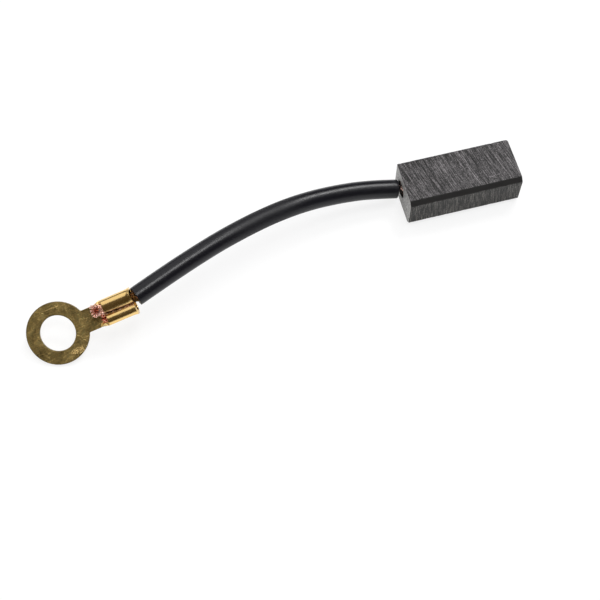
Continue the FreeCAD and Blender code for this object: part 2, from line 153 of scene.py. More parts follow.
class LeadSettings(bpy.types.PropertyGroup):
    sleeve: span("Sleeve diameter", 3.5 * MM, "Insulating sleeve, outside")
    sleeve_bore: span("Sleeve bore", 2.4 * MM, "Insulating sleeve, inside")
    bundle: span("Flexible diameter", 2.2 * MM, "All strands together")
    wire: span("Wire diameter", 0.146 * MM, "One copper wire")
    rope_lay: span("Rope lay", 15.0 * MM, "One turn of the strands about the flexible")
    strand_lay: span("Strand lay", 9.0 * MM, "One turn of the wires about their strand")
    length: span("Lead length", 53.0 * MM, "Sleeved length of the lead")
    sleeve_colour: tint("Sleeve", (0.0058, 0.0059, 0.0088), "Black sleeve")
    copper_colour: tint("Copper", (0.97, 0.66, 0.56), "Bright copper wire")
    dark_copper_colour: tint("Aged copper", (0.50, 0.13, 0.06), "Darkened copper wire")
    # Painted shade: the darker colour of the wires from the sleeve's end into the barrel
    shaded_copper_colour: tint("Brown copper", (0.25, 0.15, 0.065), "Copper wire in painted shade")


class TerminalSettings(bpy.types.PropertyGroup):
    ring: span("Ring", 11.0 * MM, "Ring, outside diameter")
    hole: span("Hole", 6.3 * MM, "Hole, clears an M6 screw")
    sheet: span("Sheet", 0.6 * MM, "Thickness of the brass sheet")
    tongue: span("Tongue", 4.05 * MM, "Width of the tongue")
    fillet: span("Fillet", 0.35 * MM, "Inside corners where the tongue meets the ring")
    neck_start: span("Neck start", 7.4 * MM, "From the ring's centre to the neck")
    barrel_start: span("Barrel start", 8.95 * MM, "From the ring's centre to the barrel's front")
    barrel_end: span("Barrel end", 14.6 * MM, "From the ring's centre to the barrel's wire end")
    barrel_width: span("Barrel width", 4.65 * MM, "Crimped barrel across both lobes")
    barrel_shift: place_on("Barrel shift", 0.15 * MM, "Barrel's middle behind the tongue's")
    barrel_height: span("Barrel height", 3.0 * MM, "Crimped barrel from floor to lobes")
    bell: span("Bell mouth", 0.12 * MM, "Flare of the barrel's wire end, each side")
    edge: span("Edge break", 0.10 * MM, "Rounded sheared edges of the sheet")
    centre_x: place_on("Ring centre X", -76.35 * MM, "Ring's centre on its underside")
    centre_y: place_on("Ring centre Y", -11.3 * MM, "Ring's centre on its underside")
    heading: turn("Heading", 4.8, "Terminal's heading")
    rise: turn("Rise", 12.5, "Rise of the terminal towards the lead")
    lean: turn("Lean", 30.8, "Lean of the terminal to the front")
    brass_colour: tint("Brass", (0.87, 0.61, 0.25), "Brass of the terminal")
    stain_colour: tint("Stained brass", (0.38, 0.32, 0.135), "Green brown stains of the ring")
    # The ring and tongue's duller, darker brass is partly tarnish and partly painted shade, for the
    # ring faces a dark room
    dull_colour: tint("Dull brass", (0.56, 0.41, 0.155), "Tarnished brass of ring and tongue")


class StageSettings(bpy.types.PropertyGroup):
    floor_colour: tint("Floor", (0.93, 0.93, 0.93), "Pale floor")
    camera: spot("Camera", (-0.057989, -0.106419, 0.192008), "Place of the camera")
    aim: spot("Aim", (-0.033838, -0.014363, 0.000035), "Point in the middle of the picture")
    lens: bpy.props.FloatProperty(
        name="Lens", description="Focal length on a 36 mm wide sensor", default=72.0, min=1.0,
        unit="CAMERA",
    )


# Materials

WHITE = (1.0, 1.0, 1.0)
# Painted shade for the rims of the ring and its hole
PAINTED_RIM_SHADE = (0.09, 0.06, 0.025)
SEAM_DIRT = (0.26, 0.12, 0.035)
# Copper dust in the barrel's seam, also painted glints
COPPER_DUST_AND_GLINTS = (0.85, 0.50, 0.33)
COPPER_SPECK = (0.55, 0.24, 0.13)
# Painted shade for the wires in the bore
BORE_SHADE_BLACK = (0.012, 0.010, 0.010)


class Amount:
    """A number in a node tree. Arithmetic on it adds the Math nodes."""

    def __init__(self, shader, socket):
        self.shader = shader
        self.socket = socket

    def __add__(self, other):
        return self.shader.maths("ADD", self, other)

    def __sub__(self, other):
        return self.shader.maths("SUBTRACT", self, other)

    def __rsub__(self, other):
        return self.shader.maths("SUBTRACT", other, self)

    def __mul__(self, other):
        return self.shader.maths("MULTIPLY", self, other)

    def __truediv__(self, other):
        return self.shader.maths("DIVIDE", self, other)

    def __rtruediv__(self, other):
        return self.shader.maths("DIVIDE", other, self)

    def __pow__(self, other):
        return self.shader.maths("POWER", self, other)

    def __abs__(self):
        return self.shader.maths("ABSOLUTE", self)

    __radd__ = __add__
    __rmul__ = __mul__

    def at_most(self, other):
        return self.shader.maths("MINIMUM", self, other)

    def at_least(self, other):
        return self.shader.maths("MAXIMUM", self, other)

    def rising(self, low, high):
        """0 below low, 1 above high, and smooth between."""
        made = self.shader.node(
            "MapRange", {"interpolation_type": "SMOOTHSTEP"},
            {"Value": self, "From Min": low, "From Max": high, "To Min": 0.0, "To Max": 1.0},
        )
        return Amount(self.shader, made.outputs["Result"])

    def falling(self, low, high):
        """1 below low, 0 above high, and smooth between."""
        return 1.0 - self.rising(low, high)


class Shader:
    """The node tree of a material or of the world."""

    def __init__(self, tree):
        self.tree = tree

    def node(self, kind, settings=None, sockets=None):
        """Adds a node: its type, its settings, and the values or links of its sockets."""
        made = self.tree.nodes.new("ShaderNode" + kind)
        for name, value in (settings or {}).items():
            setattr(made, name, value)
        for name, value in (sockets or {}).items():
            self.feed(made.inputs[name], value)
        return made

    def feed(self, socket, value):
        if isinstance(value, Amount):
            value = value.socket
        if isinstance(value, bpy.types.NodeSocket):
            self.tree.links.new(value, socket)
        elif socket.type == "RGBA":
            socket.default_value = (*value[:3], 1.0)
        else:
            socket.default_value = value

    def maths(self, operation, *values):
        made = self.node("Math", {"operation": operation})
        for socket, value in zip(made.inputs, values):
            self.feed(socket, value)
        return Amount(self, made.outputs[0])

    def parts(self, vector):
        split = self.node("SeparateXYZ", None, {"Vector": vector})
        return [Amount(self, split.outputs[name]) for name in "XYZ"]

    def blend(self, factor, first, second, how="MIX"):
        """Colour between two, by a factor."""
        made = self.node(
            "Mix", {"data_type": "RGBA", "blend_type": how}, {0: factor, 6: first, 7: second},
        )
        return made.outputs[2]

    def rays(self, kind):
        """1 for the rays of one kind, and 0 for all others."""
        return Amount(self, self.node("LightPath").outputs["Is %s Ray" % kind])

    def seen_directly(self, camera_share, mirror_share):
        """One share for camera rays, one for glossy and transmission rays, 0 for all others."""
        mirrored = self.rays("Glossy").at_least(self.rays("Transmission")) * mirror_share
        return (self.rays("Camera") * camera_share).at_least(mirrored)

    def finish_with(self, output, factor, first, second):
        """Two surfaces, mixed by a factor, go to the output of the tree."""
        mixed = self.node("MixShader", None, {0: factor, 1: first.outputs[0], 2: second.outputs[0]})
        self.node(output, None, {"Surface": mixed.outputs[0]})


class Finish(Shader):
    """A procedural material with one Principled surface. Its patterns are in millimetres."""

    def __init__(self, name, constants):
        self.material = bpy.data.materials.new(name)
        self.material.use_nodes = True
        super().__init__(self.material.node_tree)
        self.surface = self.tree.nodes["Principled BSDF"]
        for socket, value in constants.items():
            self.surface.inputs[socket].default_value = value
        place = self.node("TexCoord").outputs["Object"]
        scaled = self.node("VectorMath", {"operation": "SCALE"}, {"Vector": place, "Scale": 1 / MM})
        self.place = scaled.outputs["Vector"]
        self.x, self.y, self.z = self.parts(self.place)

    def parts_in(self, placed):
        """Distances along the three axes of a placed piece, from its origin."""
        offset = self.node(
            "VectorMath", {"operation": "SUBTRACT"},
            {0: self.place, 1: placed.translation / MM},
        )
        return [
            Amount(self, self.node(
                "VectorMath", {"operation": "DOT_PRODUCT"}, {0: offset.outputs[0], 1: axis},
            ).outputs["Value"])
            for axis in placed.to_3x3().col
        ]

    def vector(self, x, y, z=0.0):
        return self.node("CombineXYZ", None, {"X": x, "Y": y, "Z": z}).outputs[0]

    def noise(self, vector, scale=1.0, detail=2.0, roughness=0.5):
        made = self.node(
            "TexNoise", None,
            {"Vector": vector, "Scale": scale, "Detail": detail, "Roughness": roughness},
        )
        return Amount(self, made.outputs[0])

    def swing(self, vector, scale=1.0, detail=2.0, roughness=0.5):
        """Noise about zero, up to a half either way."""
        return self.noise(vector, scale, detail, roughness) - 0.5

    def cells(self, vector, scale=1.0):
        """Distance to the nearest of many scattered points."""
        made = self.node("TexVoronoi", None, {"Vector": vector, "Scale": scale})
        return Amount(self, made.outputs["Distance"])

    def toned(self, colour, tone):
        """A colour times a number."""
        grey = self.node("CombineColor", None, {"Red": tone, "Green": tone, "Blue": tone})
        return self.blend(1.0, colour, grey.outputs[0], "MULTIPLY")

    def bump(self, height, distance, strength, under=None):
        sockets = {"Height": height, "Distance": distance, "Strength": strength}
        if under is not None:
            sockets["Normal"] = under
        return self.node("Bump", None, sockets).outputs[0]

    def with_surface(self, sockets):
        """Feeds the surface's sockets and hands over the material."""
        for name, value in sockets.items():
            self.feed(self.surface.inputs[name], value)
        return self.material


def darker(colour, share):
    return tuple(channel * share for channel in colour)


def distance(x, y):
    return (x ** 2.0 + y ** 2.0) ** 0.5


# Saw marks of the carbon, the same lines for the mesh and for its finish, in millimetres
SAW_SLOPE = 0.25
SAW_CURVE = 0.0055
SAW_MIDDLE = 0.4
SIDE_SLOPE = 0.09

# Lines of the broad sides that stand out: place across the saw marks and half width. The bright
# ones are glossier, and their lighter colour is partly a painted highlight.
MARKED_LINES = ((-2.35, 0.08), (1.78, 0.07), (2.08, 0.07), (7.55, 0.08), (9.45, 0.09))
MARKED_GROOVES = ((-5.9, 0.30), (-4.9, 0.14), (3.4, 0.16), (5.6, 0.12))


def saw_line(x, y):
    """Distance across the saw marks of a broad side; equal along one mark."""
    down = SAW_MIDDLE - y
    return x - SAW_SLOPE * down - SAW_CURVE * (down * down)


def side_line(x, z):
    """Distance across the saw marks of a narrow side."""
    return x + SIDE_SLOPE * z


def sawn_carbon(name, colour, gloss, contrast, broad):
    """Carbon cut by a saw: fine parallel marks, a few bright lines that are glossier and lighter as
    a partly painted highlight, grain, and painted glints.
    """
    finish = Finish(name, {"Metallic": 0.0, "IOR": 1.6, "Specular IOR Level": gloss})
    if broad:
        across, along = saw_line(finish.x, finish.y), finish.y
    else:
        across, along = side_line(finish.x, finish.z), finish.z

    def drawn_out(closeness, stretch, seed=0.0):
        """Place in a pattern that is drawn out along the saw marks."""
        return finish.vector(across * closeness, along * stretch, seed)

    wide = finish.swing(drawn_out(0.9, 0.03), detail=1.0)
    middle = finish.swing(drawn_out(2.7, 0.08, 3.0))
    fine = finish.swing(drawn_out(6.2, 0.34, 7.0), detail=3.0)
    grain = finish.swing(finish.place, 4.2, 4.0, 0.85)
    mottle = finish.swing(finish.place, 1.1, 3.0, 0.6)
    pores = finish.cells(finish.place, 3.0).falling(0.05, 0.24)
    broken = finish.noise(drawn_out(3.0, 1.6, 15.0)).rising(0.34, 0.54)
    # Bright lines: glossier, and lighter in colour, which partly paints their highlight
    bright_lines = finish.cells(drawn_out(1.5, 0.02, 11.0)).falling(0.02, 0.09)
    dark_lines = finish.cells(drawn_out(1.9, 0.03, 19.0)).falling(0.03, 0.16)
    # Painted glints: small bright dots in the colour, standing in for spots that catch a lamp
    painted_glints = finish.cells(finish.place, 2.7).falling(0.05, 0.24)
    painted_glints = painted_glints * finish.noise(finish.place, 0.8).rising(0.40, 0.58)
    if broad:
        for place, width in MARKED_LINES:
            bright_lines = bright_lines + abs(across - place).falling(width * 0.4, width)
        for place, width in MARKED_GROOVES:
            dark_lines = dark_lines + abs(across - place).falling(width * 0.4, width)
    bright_lines = bright_lines.at_most(1.0) * broken
    dark_lines = dark_lines.at_most(1.0)

    uneven = wide * 1.2 + middle * 3.6 + fine * 8.5 + grain * 11.0 + mottle
    uneven = uneven + bright_lines * 2.2 - dark_lines * 0.8 - pores * 0.8 + painted_glints * 3.0
    tone = uneven * contrast + 1.0
    height = wide * 0.4 + middle * 0.9 + fine * 0.7 + grain * 0.4
    height = height + bright_lines * 0.15 - dark_lines * 0.4 - pores * 0.3
    if broad:
        mark = pale_scratch(finish)
        tone = tone + mark * 3.6
        height = height - mark * 0.5
    return finish.with_surface({
        "Base Color": finish.toned(colour, tone.at_least(0.12)),
        "Roughness": 0.5 + grain * 0.25 - bright_lines * 0.12 + mottle * 0.2,
        "Normal": finish.bump(height, 0.06 * MM, 0.75),
    })


def pale_scratch(finish):
    """Short pale scratch with a dot past its end, on the upper broad side near the contact face."""
    start_x, start_y, reach, slope = 4.9, -2.45, 2.3, 0.12
    run, off = finish.x - start_x, finish.y - start_y
    wobble = finish.swing(finish.place, 2.2) * 0.16
    line = abs(off - run * slope + wobble).falling(0.04, 0.14)
    line = line * run.rising(-0.1, 0.05) * run.falling(reach - 0.3, reach)
    line = line * finish.noise(finish.place, 5.0).rising(0.35, 0.6)
    blob = distance(run - 0.05, off - 0.05).falling(0.08, 0.24)
    dot = distance(run - 2.85, off - 0.35).falling(0.06, 0.2)
    upper_side = finish.z.rising(7.0, 7.05)
    return (line + blob * 0.8 + dot * 0.8).at_most(1.0) * upper_side


def ground_carbon(name, colour):
    """Carbon ground smooth: even, with faint arcs and grain. On the ends its light colour is partly
    painted light; in the bore it is nearly black as painted shade.
    """
    finish = Finish(name, {"Metallic": 0.0, "IOR": 1.6})
    arcs = finish.vector(finish.y * 0.6 + finish.z * 0.2, finish.z * 6.0)
    swirl = finish.swing(arcs, detail=3.0)
    grain = finish.swing(finish.place, 3.6, 4.0, 0.8)
    mottle = finish.swing(finish.place, 0.9)
    pores = finish.cells(finish.place, 3.0).falling(0.05, 0.26)
    tone = 1.08 + grain * 9.0 + swirl + mottle * 0.8 - pores * 0.8
    return finish.with_surface({
        "Base Color": finish.toned(colour, tone.at_least(0.2)),
        "Roughness": 0.46 + grain * 0.2,
        "Normal": finish.bump(grain - pores * 0.5 + swirl * 0.4, 0.03 * MM, 0.5),
    })


def burnished_carbon(name, colour):
    """Bevel shaved with a tool: smooth, with lines along the block, and nearly black, which is
    partly painted shade.
    """
    finish = Finish(name, {"Metallic": 0.0, "IOR": 1.5})
    across = finish.z - finish.y
    lines = finish.swing(finish.vector(finish.x * 0.25, across * 9.0), detail=3.0)
    grain = finish.swing(finish.place, 8.0, 3.0, 0.6)
    tone = 1.0 + lines * 0.9 + grain * 0.8
    return finish.with_surface({
        "Base Color": finish.toned(colour, tone.at_least(0.3)),
        "Roughness": 0.5 + grain * 0.3,
        "Normal": finish.bump(lines + grain * 0.4, 0.03 * MM, 0.5),
    })


def powder(name, colour):
    """Tamped copper and graphite powder: dark, crumbly, with copper specks."""
    finish = Finish(name, {"IOR": 1.5})
    crumbs = finish.cells(finish.place, 7.0)
    grain = finish.swing(finish.place, 12.0, 4.0, 0.7)
    specks = finish.noise(finish.place, 16.0, 1.0).rising(0.63, 0.7)
    tone = 0.7 + crumbs * 1.2 + grain * 0.8
    dark = finish.toned(colour, tone.at_least(0.2))
    return finish.with_surface({
        "Base Color": finish.blend(specks, dark, COPPER_SPECK),
        "Metallic": specks,
        "Roughness": 0.85 - specks * 0.4,
        "Normal": finish.bump(grain - crumbs, 0.12 * MM, 0.9),
    })


def rubber(name, colour):
    """Extruded black sleeve: soft gloss, duller in its middle, draw lines, dust and scuffs."""
    finish = Finish(name, {"IOR": 1.5, "Specular IOR Level": 0.33})
    draw = finish.noise(finish.vector(finish.x * 0.12, finish.y * 5.0, finish.z * 5.0))
    skin = finish.swing(finish.place, 3.0, 4.0, 0.6)
    grain = finish.noise(finish.place, 14.0, 2.0, 0.6)
    rubbed = finish.vector(finish.x * 0.7, finish.y * 2.5, finish.z * 2.5)
    scuff = finish.noise(rubbed, 1.0, 4.0, 0.7).rising(0.58, 0.75)
    worn = finish.x.rising(-47.0, -39.0) * finish.x.falling(-34.0, -27.0)
    return finish.with_surface({
        "Base Color": finish.toned(colour, 1.0 + skin * 0.5 + scuff * 0.8),
        "Roughness": 0.31 + skin * 0.14 + scuff * 0.14 + worn * 0.20,
        "Normal": finish.bump(draw * 0.12 + skin * 0.4 + grain * 0.1, 0.05 * MM, 0.35),
    })


def copper(name, bright, aged, edge, metal):
    """Drawn copper wire: one colour where it is bright, another in its aged patches. Its darker
    copies serve as painted shade.
    """
    finish = Finish(name, {"Metallic": metal})
    patch = finish.noise(finish.place, 1.6, 3.0, 0.6).rising(edge - 0.12, edge + 0.12)
    grain = finish.swing(finish.place, 14.0)
    return finish.with_surface({
        "Base Color": finish.toned(finish.blend(patch, bright, aged), 1.0 + grain * 0.4),
        "Roughness": 0.36 + patch * 0.14 + grain * 0.2,
        "Normal": finish.bump(grain, 0.01 * MM, 0.4),
    })


def brass(name, settings, placed):
    """Rolled brass sheet: dull and scratched on the ring, brighter on the barrel. The ring's dull
    colour is partly painted shade, and its rims are darkened as painted shade.
    """
    finish = Finish(name, {"Metallic": 1.0})
    run, side, rise = finish.parts_in(placed)
    flat = finish.vector(run, side, rise)
    clouds = finish.swing(flat, 0.7, 4.0, 0.65)
    grain = finish.swing(flat, 3.5, 4.0, 0.75)
    rolled = finish.swing(finish.vector(run * 0.5, side * 9.0, rise), detail=3.0)
    barrel = run.rising(7.6, 9.0)
    scratches = crossed_scratches(finish, run, side)
    marks = ring_marks(finish, run, side, rise)
    far = distance(run, side)
    # Mask of the ring's outer rim, away from the tongue, and of the hole's rim, for painted shade
    rim = (far.rising(5.37, 5.45) * run.falling(4.9, 5.3) + far.falling(3.20, 3.27)).at_most(1.0)
    dirt_colour, dirt = seam_dirt(finish, settings, run, side, rise)

    stain = finish.noise(flat, 1.5, 4.0, 0.65).rising(0.45, 0.65)
    stained = finish.blend(stain * 0.7, settings.dull_colour, settings.stain_colour)
    dull = finish.toned(stained, 1.0 + clouds * 1.6 + rolled + grain)
    # The ring and tongue take the darker brass, partly tarnish and partly painted shade
    colour = finish.blend(barrel, dull, settings.brass_colour)
    colour = finish.blend((scratches * 0.5 + marks).at_most(1.0), colour, settings.brass_colour)
    # Painted shade: the rims darkened in colour
    colour = finish.blend(rim * 0.65, colour, PAINTED_RIM_SHADE)
    roughness = 0.40 + grain * 0.2 + clouds * 0.16 - marks * 0.1
    plain = 1.0 - barrel * 0.9
    height = 0.375 + grain * 0.5 + rolled * 0.25 - scratches * 0.7
    dents = finish.noise(flat, 1.3) * plain + marks * finish.noise(flat, 3.0, 3.0) * 2.5
    return finish.with_surface({
        "Base Color": finish.blend(dirt, colour, dirt_colour),
        "Metallic": 1.0 - dirt * 0.55,
        "Roughness": roughness - barrel * 0.18 + dirt * 0.25 + rim * 0.1,
        "Normal": finish.bump(
            dents, 0.05 * MM, 0.5, under=finish.bump(height * plain, 0.02 * MM, 0.55),
        ),
    })


def seam_dirt(finish, settings, run, side, rise):
    """Colour and amount of the brown dirt and copper dust along the barrel's seam; the pale dust
    specks also paint the seam's glints.
    """
    start = settings.barrel_start / MM
    slope = SEAM_DRIFT / (settings.barrel_end - settings.barrel_start)
    seam = SEAM_START / MM + (run - start) * slope
    near = abs(side - seam + 0.08).falling(0.14, 0.42) * run.rising(start - 0.1, start + 0.4)
    # Pale specks of copper dust, which also stand in for painted glints along the seam
    dust = finish.noise(finish.vector(run * 2.2, side * 3.5, 2.0)).rising(0.50, 0.62)
    return finish.blend(dust, SEAM_DIRT, COPPER_DUST_AND_GLINTS), near * rise.rising(1.6, 2.1)


def crossed_scratches(finish, run, side):
    """Fine scratches in three directions."""
    lines = []
    for degrees, seed, closeness in ((12.0, 3.0, 7.0), (74.0, 9.0, 6.0), (-38.0, 14.0, 8.0)):
        cosine, sine = math.cos(math.radians(degrees)), math.sin(math.radians(degrees))
        lengthwise = run * cosine + side * sine
        crosswise = side * cosine - run * sine
        drawn = finish.vector(lengthwise * 0.35, crosswise * closeness, seed)
        lines.append(finish.noise(drawn, detail=1.0).rising(0.66, 0.74))
    return sum(lines).at_most(1.0)


def ring_marks(finish, run, side, rise):
    """Marks on the upper face of the ring: a long scratch, a scuffed patch at the rim, spots."""

    def near(x, y, reach_x, reach_y, soft):
        return distance((run - x) / reach_x, (side - y) / reach_y).falling(1.0 - soft, 1.0 + soft)

    wobble = finish.swing(finish.vector(run, side), 0.8) * 0.3
    line = abs(side - 4.36 + (run - 0.4) * 0.03 + wobble).falling(0.03, 0.1)
    line = line * run.rising(-1.4, -1.0) * run.falling(1.6, 2.2)
    patchy = finish.noise(finish.vector(run, side, 4.0), 2.6, 4.0, 0.7).rising(0.42, 0.62)
    scuff = near(2.3, -4.15, 1.5, 0.55, 0.35) * patchy
    spots = near(4.35, -2.6, 0.22, 0.16, 0.4) + near(1.0, -4.1, 0.16, 0.22, 0.4)
    upper_face = rise.rising(0.45, 0.55)
    return ((line * 0.8 + scuff + spots * 0.7) * upper_face).at_most(1.0)


# Mesh helpers

class Skin:
    """Points and faces of a piece, and the number of each face's finish."""

    def __init__(self):
        self.points, self.faces, self.kinds = [], [], []

    def row(self, points):
        """Adds a row of points and gives their numbers."""
        first = len(self.points)
        self.points.extend(points)
        return range(first, len(self.points))

    def face(self, corners, kind=0):
        self.faces.append(tuple(corners))
        self.kinds.append(kind)

    def join(self, before, after, kinds=0):
        """Quads between two closed rows, all of one finish or each of its own."""
        count = len(before)
        for index in range(count):
            following = (index + 1) % count
            self.face(
                (before[index], before[following], after[following], after[index]),
                kinds[index] if isinstance(kinds, list) else kinds,
            )

    def close(self, row, centre, kind=0):
        """Triangles between a closed row and one more point."""
        middle = self.row([centre])[0]
        for index, number in enumerate(row):
            self.face((number, row[(index + 1) % len(row)], middle), kind)


def add_piece(name, skin, finishes, sharp=38.0, outward=True):
    """A mesh object of a skin, smooth except at edges sharper than an angle."""
    mesh = bpy.data.meshes.new(name)
    mesh.from_pydata([tuple(point) for point in skin.points], [], skin.faces)
    for finish in finishes:
        mesh.materials.append(finish)
    mesh.polygons.foreach_set("material_index", skin.kinds)
    if outward:
        work = bmesh.new()
        work.from_mesh(mesh)
        bmesh.ops.recalc_face_normals(work, faces=work.faces)
        work.to_mesh(mesh)
        work.free()
    smooth(mesh, sharp)
    piece = bpy.data.objects.new(name, mesh)
    bpy.context.scene.collection.objects.link(piece)
    return piece


def smooth(mesh, sharp):
    mesh.polygons.foreach_set("use_smooth", [True] * len(mesh.polygons))
    mesh.set_sharp_from_angle(angle=math.radians(sharp))


def belongs(piece, node):
    """The piece rides on the part's one body and stands for a CAD node, which it hides."""
    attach(piece, "root")
    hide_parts(node)


def toward(angle):
    """Direction of length 1 in a plane."""
    return Vector((math.cos(angle), math.sin(angle)))


def even(low, high, steps):
    """Even steps from low to high."""
    return [low + (high - low) * index / steps for index in range(steps + 1)]


def spread(low, high, step):
    """Even steps from low to high, about as long as step."""
    return even(low, high, max(1, round((high - low) / step)))


def ease(value):
    """Smooth step from 0 to 1."""
    value = min(1.0, max(0.0, value))
    return value * value * (3 - 2 * value)


# Carbon block

BOTTOM, BACK, TOP, UPPER_BEVEL, FRONT, LOWER_BEVEL = range(6)
# Finishes of the block; the bore's walls are nearly black as painted shade
BROAD, NARROW, BURNISHED, GROUND, SHADED_BORE_WALL = range(5)
FINISH_OF_SIDE = {
    BOTTOM: BROAD, TOP: BROAD, BACK: NARROW, FRONT: NARROW,
    UPPER_BEVEL: BURNISHED, LOWER_BEVEL: BURNISHED,
}
HALFWAY_ROUND = 0.29        # how far the middle of a quarter round is from its flat, of its radius
GRINDING = 0.006 * MM       # unevenness of the ground ends


def ripple(across, along, seed):
    """Saw marks between 0 and 1 for millimetres across and along them."""
    wide = noise.noise(Vector((across * 1.15, along * 0.05, seed)))
    middle = noise.noise(Vector((across * 3.1, along * 0.06, seed + 5)))
    fine = noise.noise(Vector((across * 6.5, along * 0.12, seed + 9)))
    return min(1.0, max(0.0, 0.5 + wide * 0.45 + middle * 0.45 + fine * 0.3))


def block_section(settings):
    """Outline in width and height: points, outward directions, sides, and whether at an edge."""
    half, tall = settings.width / 2, settings.thickness
    bevel, edge = settings.bevel, settings.edge
    corners = [
        Vector((-half + bevel, 0)), Vector((half, 0)), Vector((half, tall)),
        Vector((-half + bevel, tall)), Vector((-half, tall - bevel)), Vector((-half, bevel)),
    ]
    outline = []
    count = len(corners)
    for side, corner in enumerate(corners):
        ahead_corner = corners[(side + 1) % count]
        back = (corners[side - 1] - corner).normalized()
        ahead = (ahead_corner - corner).normalized()
        outward_before = Vector((-back.y, back.x))
        outward = Vector((ahead.y, -ahead.x))
        first = corner + back * edge
        last = corner + ahead * edge
        rounded = (first + corner * 2 + last) / 4
        outline.append((first, outward_before, (side - 1) % count, True))
        outline.append((rounded, (outward + outward_before).normalized(), side, True))
        outline.append((last, outward, side, True))
        run = (ahead_corner - corner).length - 2 * edge
        steps = max(1, round(run / (0.2 * MM)))
        for index in range(1, steps):
            outline.append((last + ahead * run * index / steps, outward, side, False))
    return outline


def mark_depth(side, x, across, tall, settings):
    """How deep the saw cut at a place on one side."""
    x_mm, y_mm, z_mm = x / MM, across / MM, tall / MM
    if side in (TOP, BOTTOM):
        return settings.saw_depth * ripple(saw_line(x_mm, y_mm), y_mm, 2.0 + side)
    if side in (FRONT, BACK):
        return settings.saw_depth * ripple(side_line(x_mm, z_mm), z_mm, 31.0 + side)
    return settings.saw_depth * 0.3 * ripple(z_mm * 3, x_mm * 0.4, 47.0 + side)


def nick(x, side, edge):
    """Small losses along a sharp edge."""
    value = noise.noise(Vector((x / MM * 1.6, side * 7.3, 0.5)))
    value += 0.5 * noise.noise(Vector((x / MM * 5.2, side * 3.1, 9.5)))
    return edge * 1.3 * max(0.0, value - 0.12)


class BuildCarbonBlock(bpy.types.Operator):
    """Build the sawn carbon block with its bevels, broken edges and bore"""

    bl_idname = "carbon_brush.build_block"
    bl_label = "Carbon block"

    def execute(self, context):
        settings = context.scene.brush_block
        outline = block_section(settings)
        kinds = [FINISH_OF_SIDE[side] for _, _, side, _ in outline]
        skin = Skin()
        rows = [skin.row(self.section_at(x, outline, settings)) for x in self.stations(settings)]
        for before, after in zip(rows, rows[1:]):
            skin.join(before, after, kinds)
        self.close_lead_end(settings, skin, rows[0])
        self.close_contact_end(settings, skin, rows[-1])
        piece = add_piece("carbon_brush_block", skin, self.finishes(settings), sharp=32.0)
        belongs(piece, "carbon_block")
        return {"FINISHED"}

    def stations(self, settings):
        """Places along the block, closer together where its ends are rounded."""
        half, edge, corner = settings.length / 2, settings.edge, settings.corner
        rounded = [
            half - corner + corner * math.sin(math.radians(angle)) for angle in (15, 30, 45, 60, 72)
        ]
        return sorted([
            -half, -half + edge * HALFWAY_ROUND,
            *spread(-half + edge, half - corner, 0.13 * MM), *rounded,
            half - edge * HALFWAY_ROUND, half,
        ])

    def section_at(self, x, outline, settings):
        """The outline at one place, with saw marks, nicks and what the rounded ends take off."""
        half, edge, corner = settings.length / 2, settings.edge, settings.corner
        from_end = min(x + half, half - x)
        inset = 0.0
        if from_end < edge:
            inset = edge - math.sqrt(edge ** 2 - (edge - from_end) ** 2)
        squeeze = 1.0
        past = x - (half - corner)
        if past > 0:
            lost = corner - math.sqrt(max(0.0, corner ** 2 - past ** 2))
            squeeze = 1 - lost / (settings.width / 2)
        row = []
        for place, outward, side, at_edge in outline:
            depth = inset + mark_depth(side, x, place.x, place.y, settings)
            if at_edge:
                depth += nick(x, side, edge)
            moved = place - outward * depth
            row.append(Vector((x, moved.x * squeeze if moved.x > 0 else moved.x, moved.y)))
        return row

    def close_lead_end(self, settings, skin, row):
        """Face of the lead end with the chipped mouth of the bore, and the bore itself."""
        x = -settings.length / 2
        centre = Vector((settings.bore_offset, settings.thickness / 2))
        radius = settings.bore / 2
        lip = 0.08 * MM
        outline = [Vector(skin.points[number].yz) for number in row]
        angles = [math.atan2(place.y - centre.y, place.x - centre.x) for place in outline]
        mouth = []
        for angle in angles:
            chips = noise.noise(Vector((math.cos(angle) * 3, math.sin(angle) * 3, 2)))
            mouth.append(centre + toward(angle) * (radius + lip * (1 + 0.7 * chips)))
        for share in (0.04, 0.15, 0.3, 0.5, 0.7, 0.85, 0.95, 1.0):
            made = []
            for place, target in zip(outline, mouth):
                y, z = place.lerp(target, share)
                uneven = GRINDING * (1 + noise.noise(Vector((y, z, 0)) / MM * 1.5))
                made.append(Vector((x + uneven, y, z)))
            after = skin.row(made)
            skin.join(row, after, GROUND)
            row = after
        # The bore's walls and bottom: painted shade, nearly black
        for depth in (lip, 0.4 * MM, 3.0 * MM, settings.bore_depth):
            after = skin.row(
                Vector((x + depth, *(centre + toward(angle) * radius))) for angle in angles
            )
            skin.join(row, after, SHADED_BORE_WALL)
            row = after
        skin.close(row, Vector((x + settings.bore_depth, *centre)), SHADED_BORE_WALL)

    def close_contact_end(self, settings, skin, row):
        """Flat contact face."""
        outline = [skin.points[number].copy() for number in row]
        centre = Vector((settings.length / 2, 0, settings.thickness / 2))
        for share in (0.04, 0.15, 0.35, 0.6, 0.85):
            made = [point.lerp(centre, share) for point in outline]
            for place in made:
                place.x -= GRINDING * (1 + noise.noise(place / MM * 1.5))
            after = skin.row(made)
            skin.join(row, after, GROUND)
            row = after
        skin.close(row, centre - Vector((GRINDING, 0, 0)), GROUND)

    def finishes(self, settings):
        return [
            sawn_carbon("sawn_carbon_broad", settings.broad_colour, 0.18, 1.32, broad=True),
            sawn_carbon("sawn_carbon_narrow", settings.side_colour, 0.22, 1.95, broad=False),
            burnished_carbon("burnished_carbon", settings.bevel_colour),
            ground_carbon("ground_carbon", settings.end_colour),
            # The bore: the ground finish made nearly black as painted shade
            ground_carbon("shaded_bore_carbon", darker(settings.bevel_colour, 0.8)),
        ]


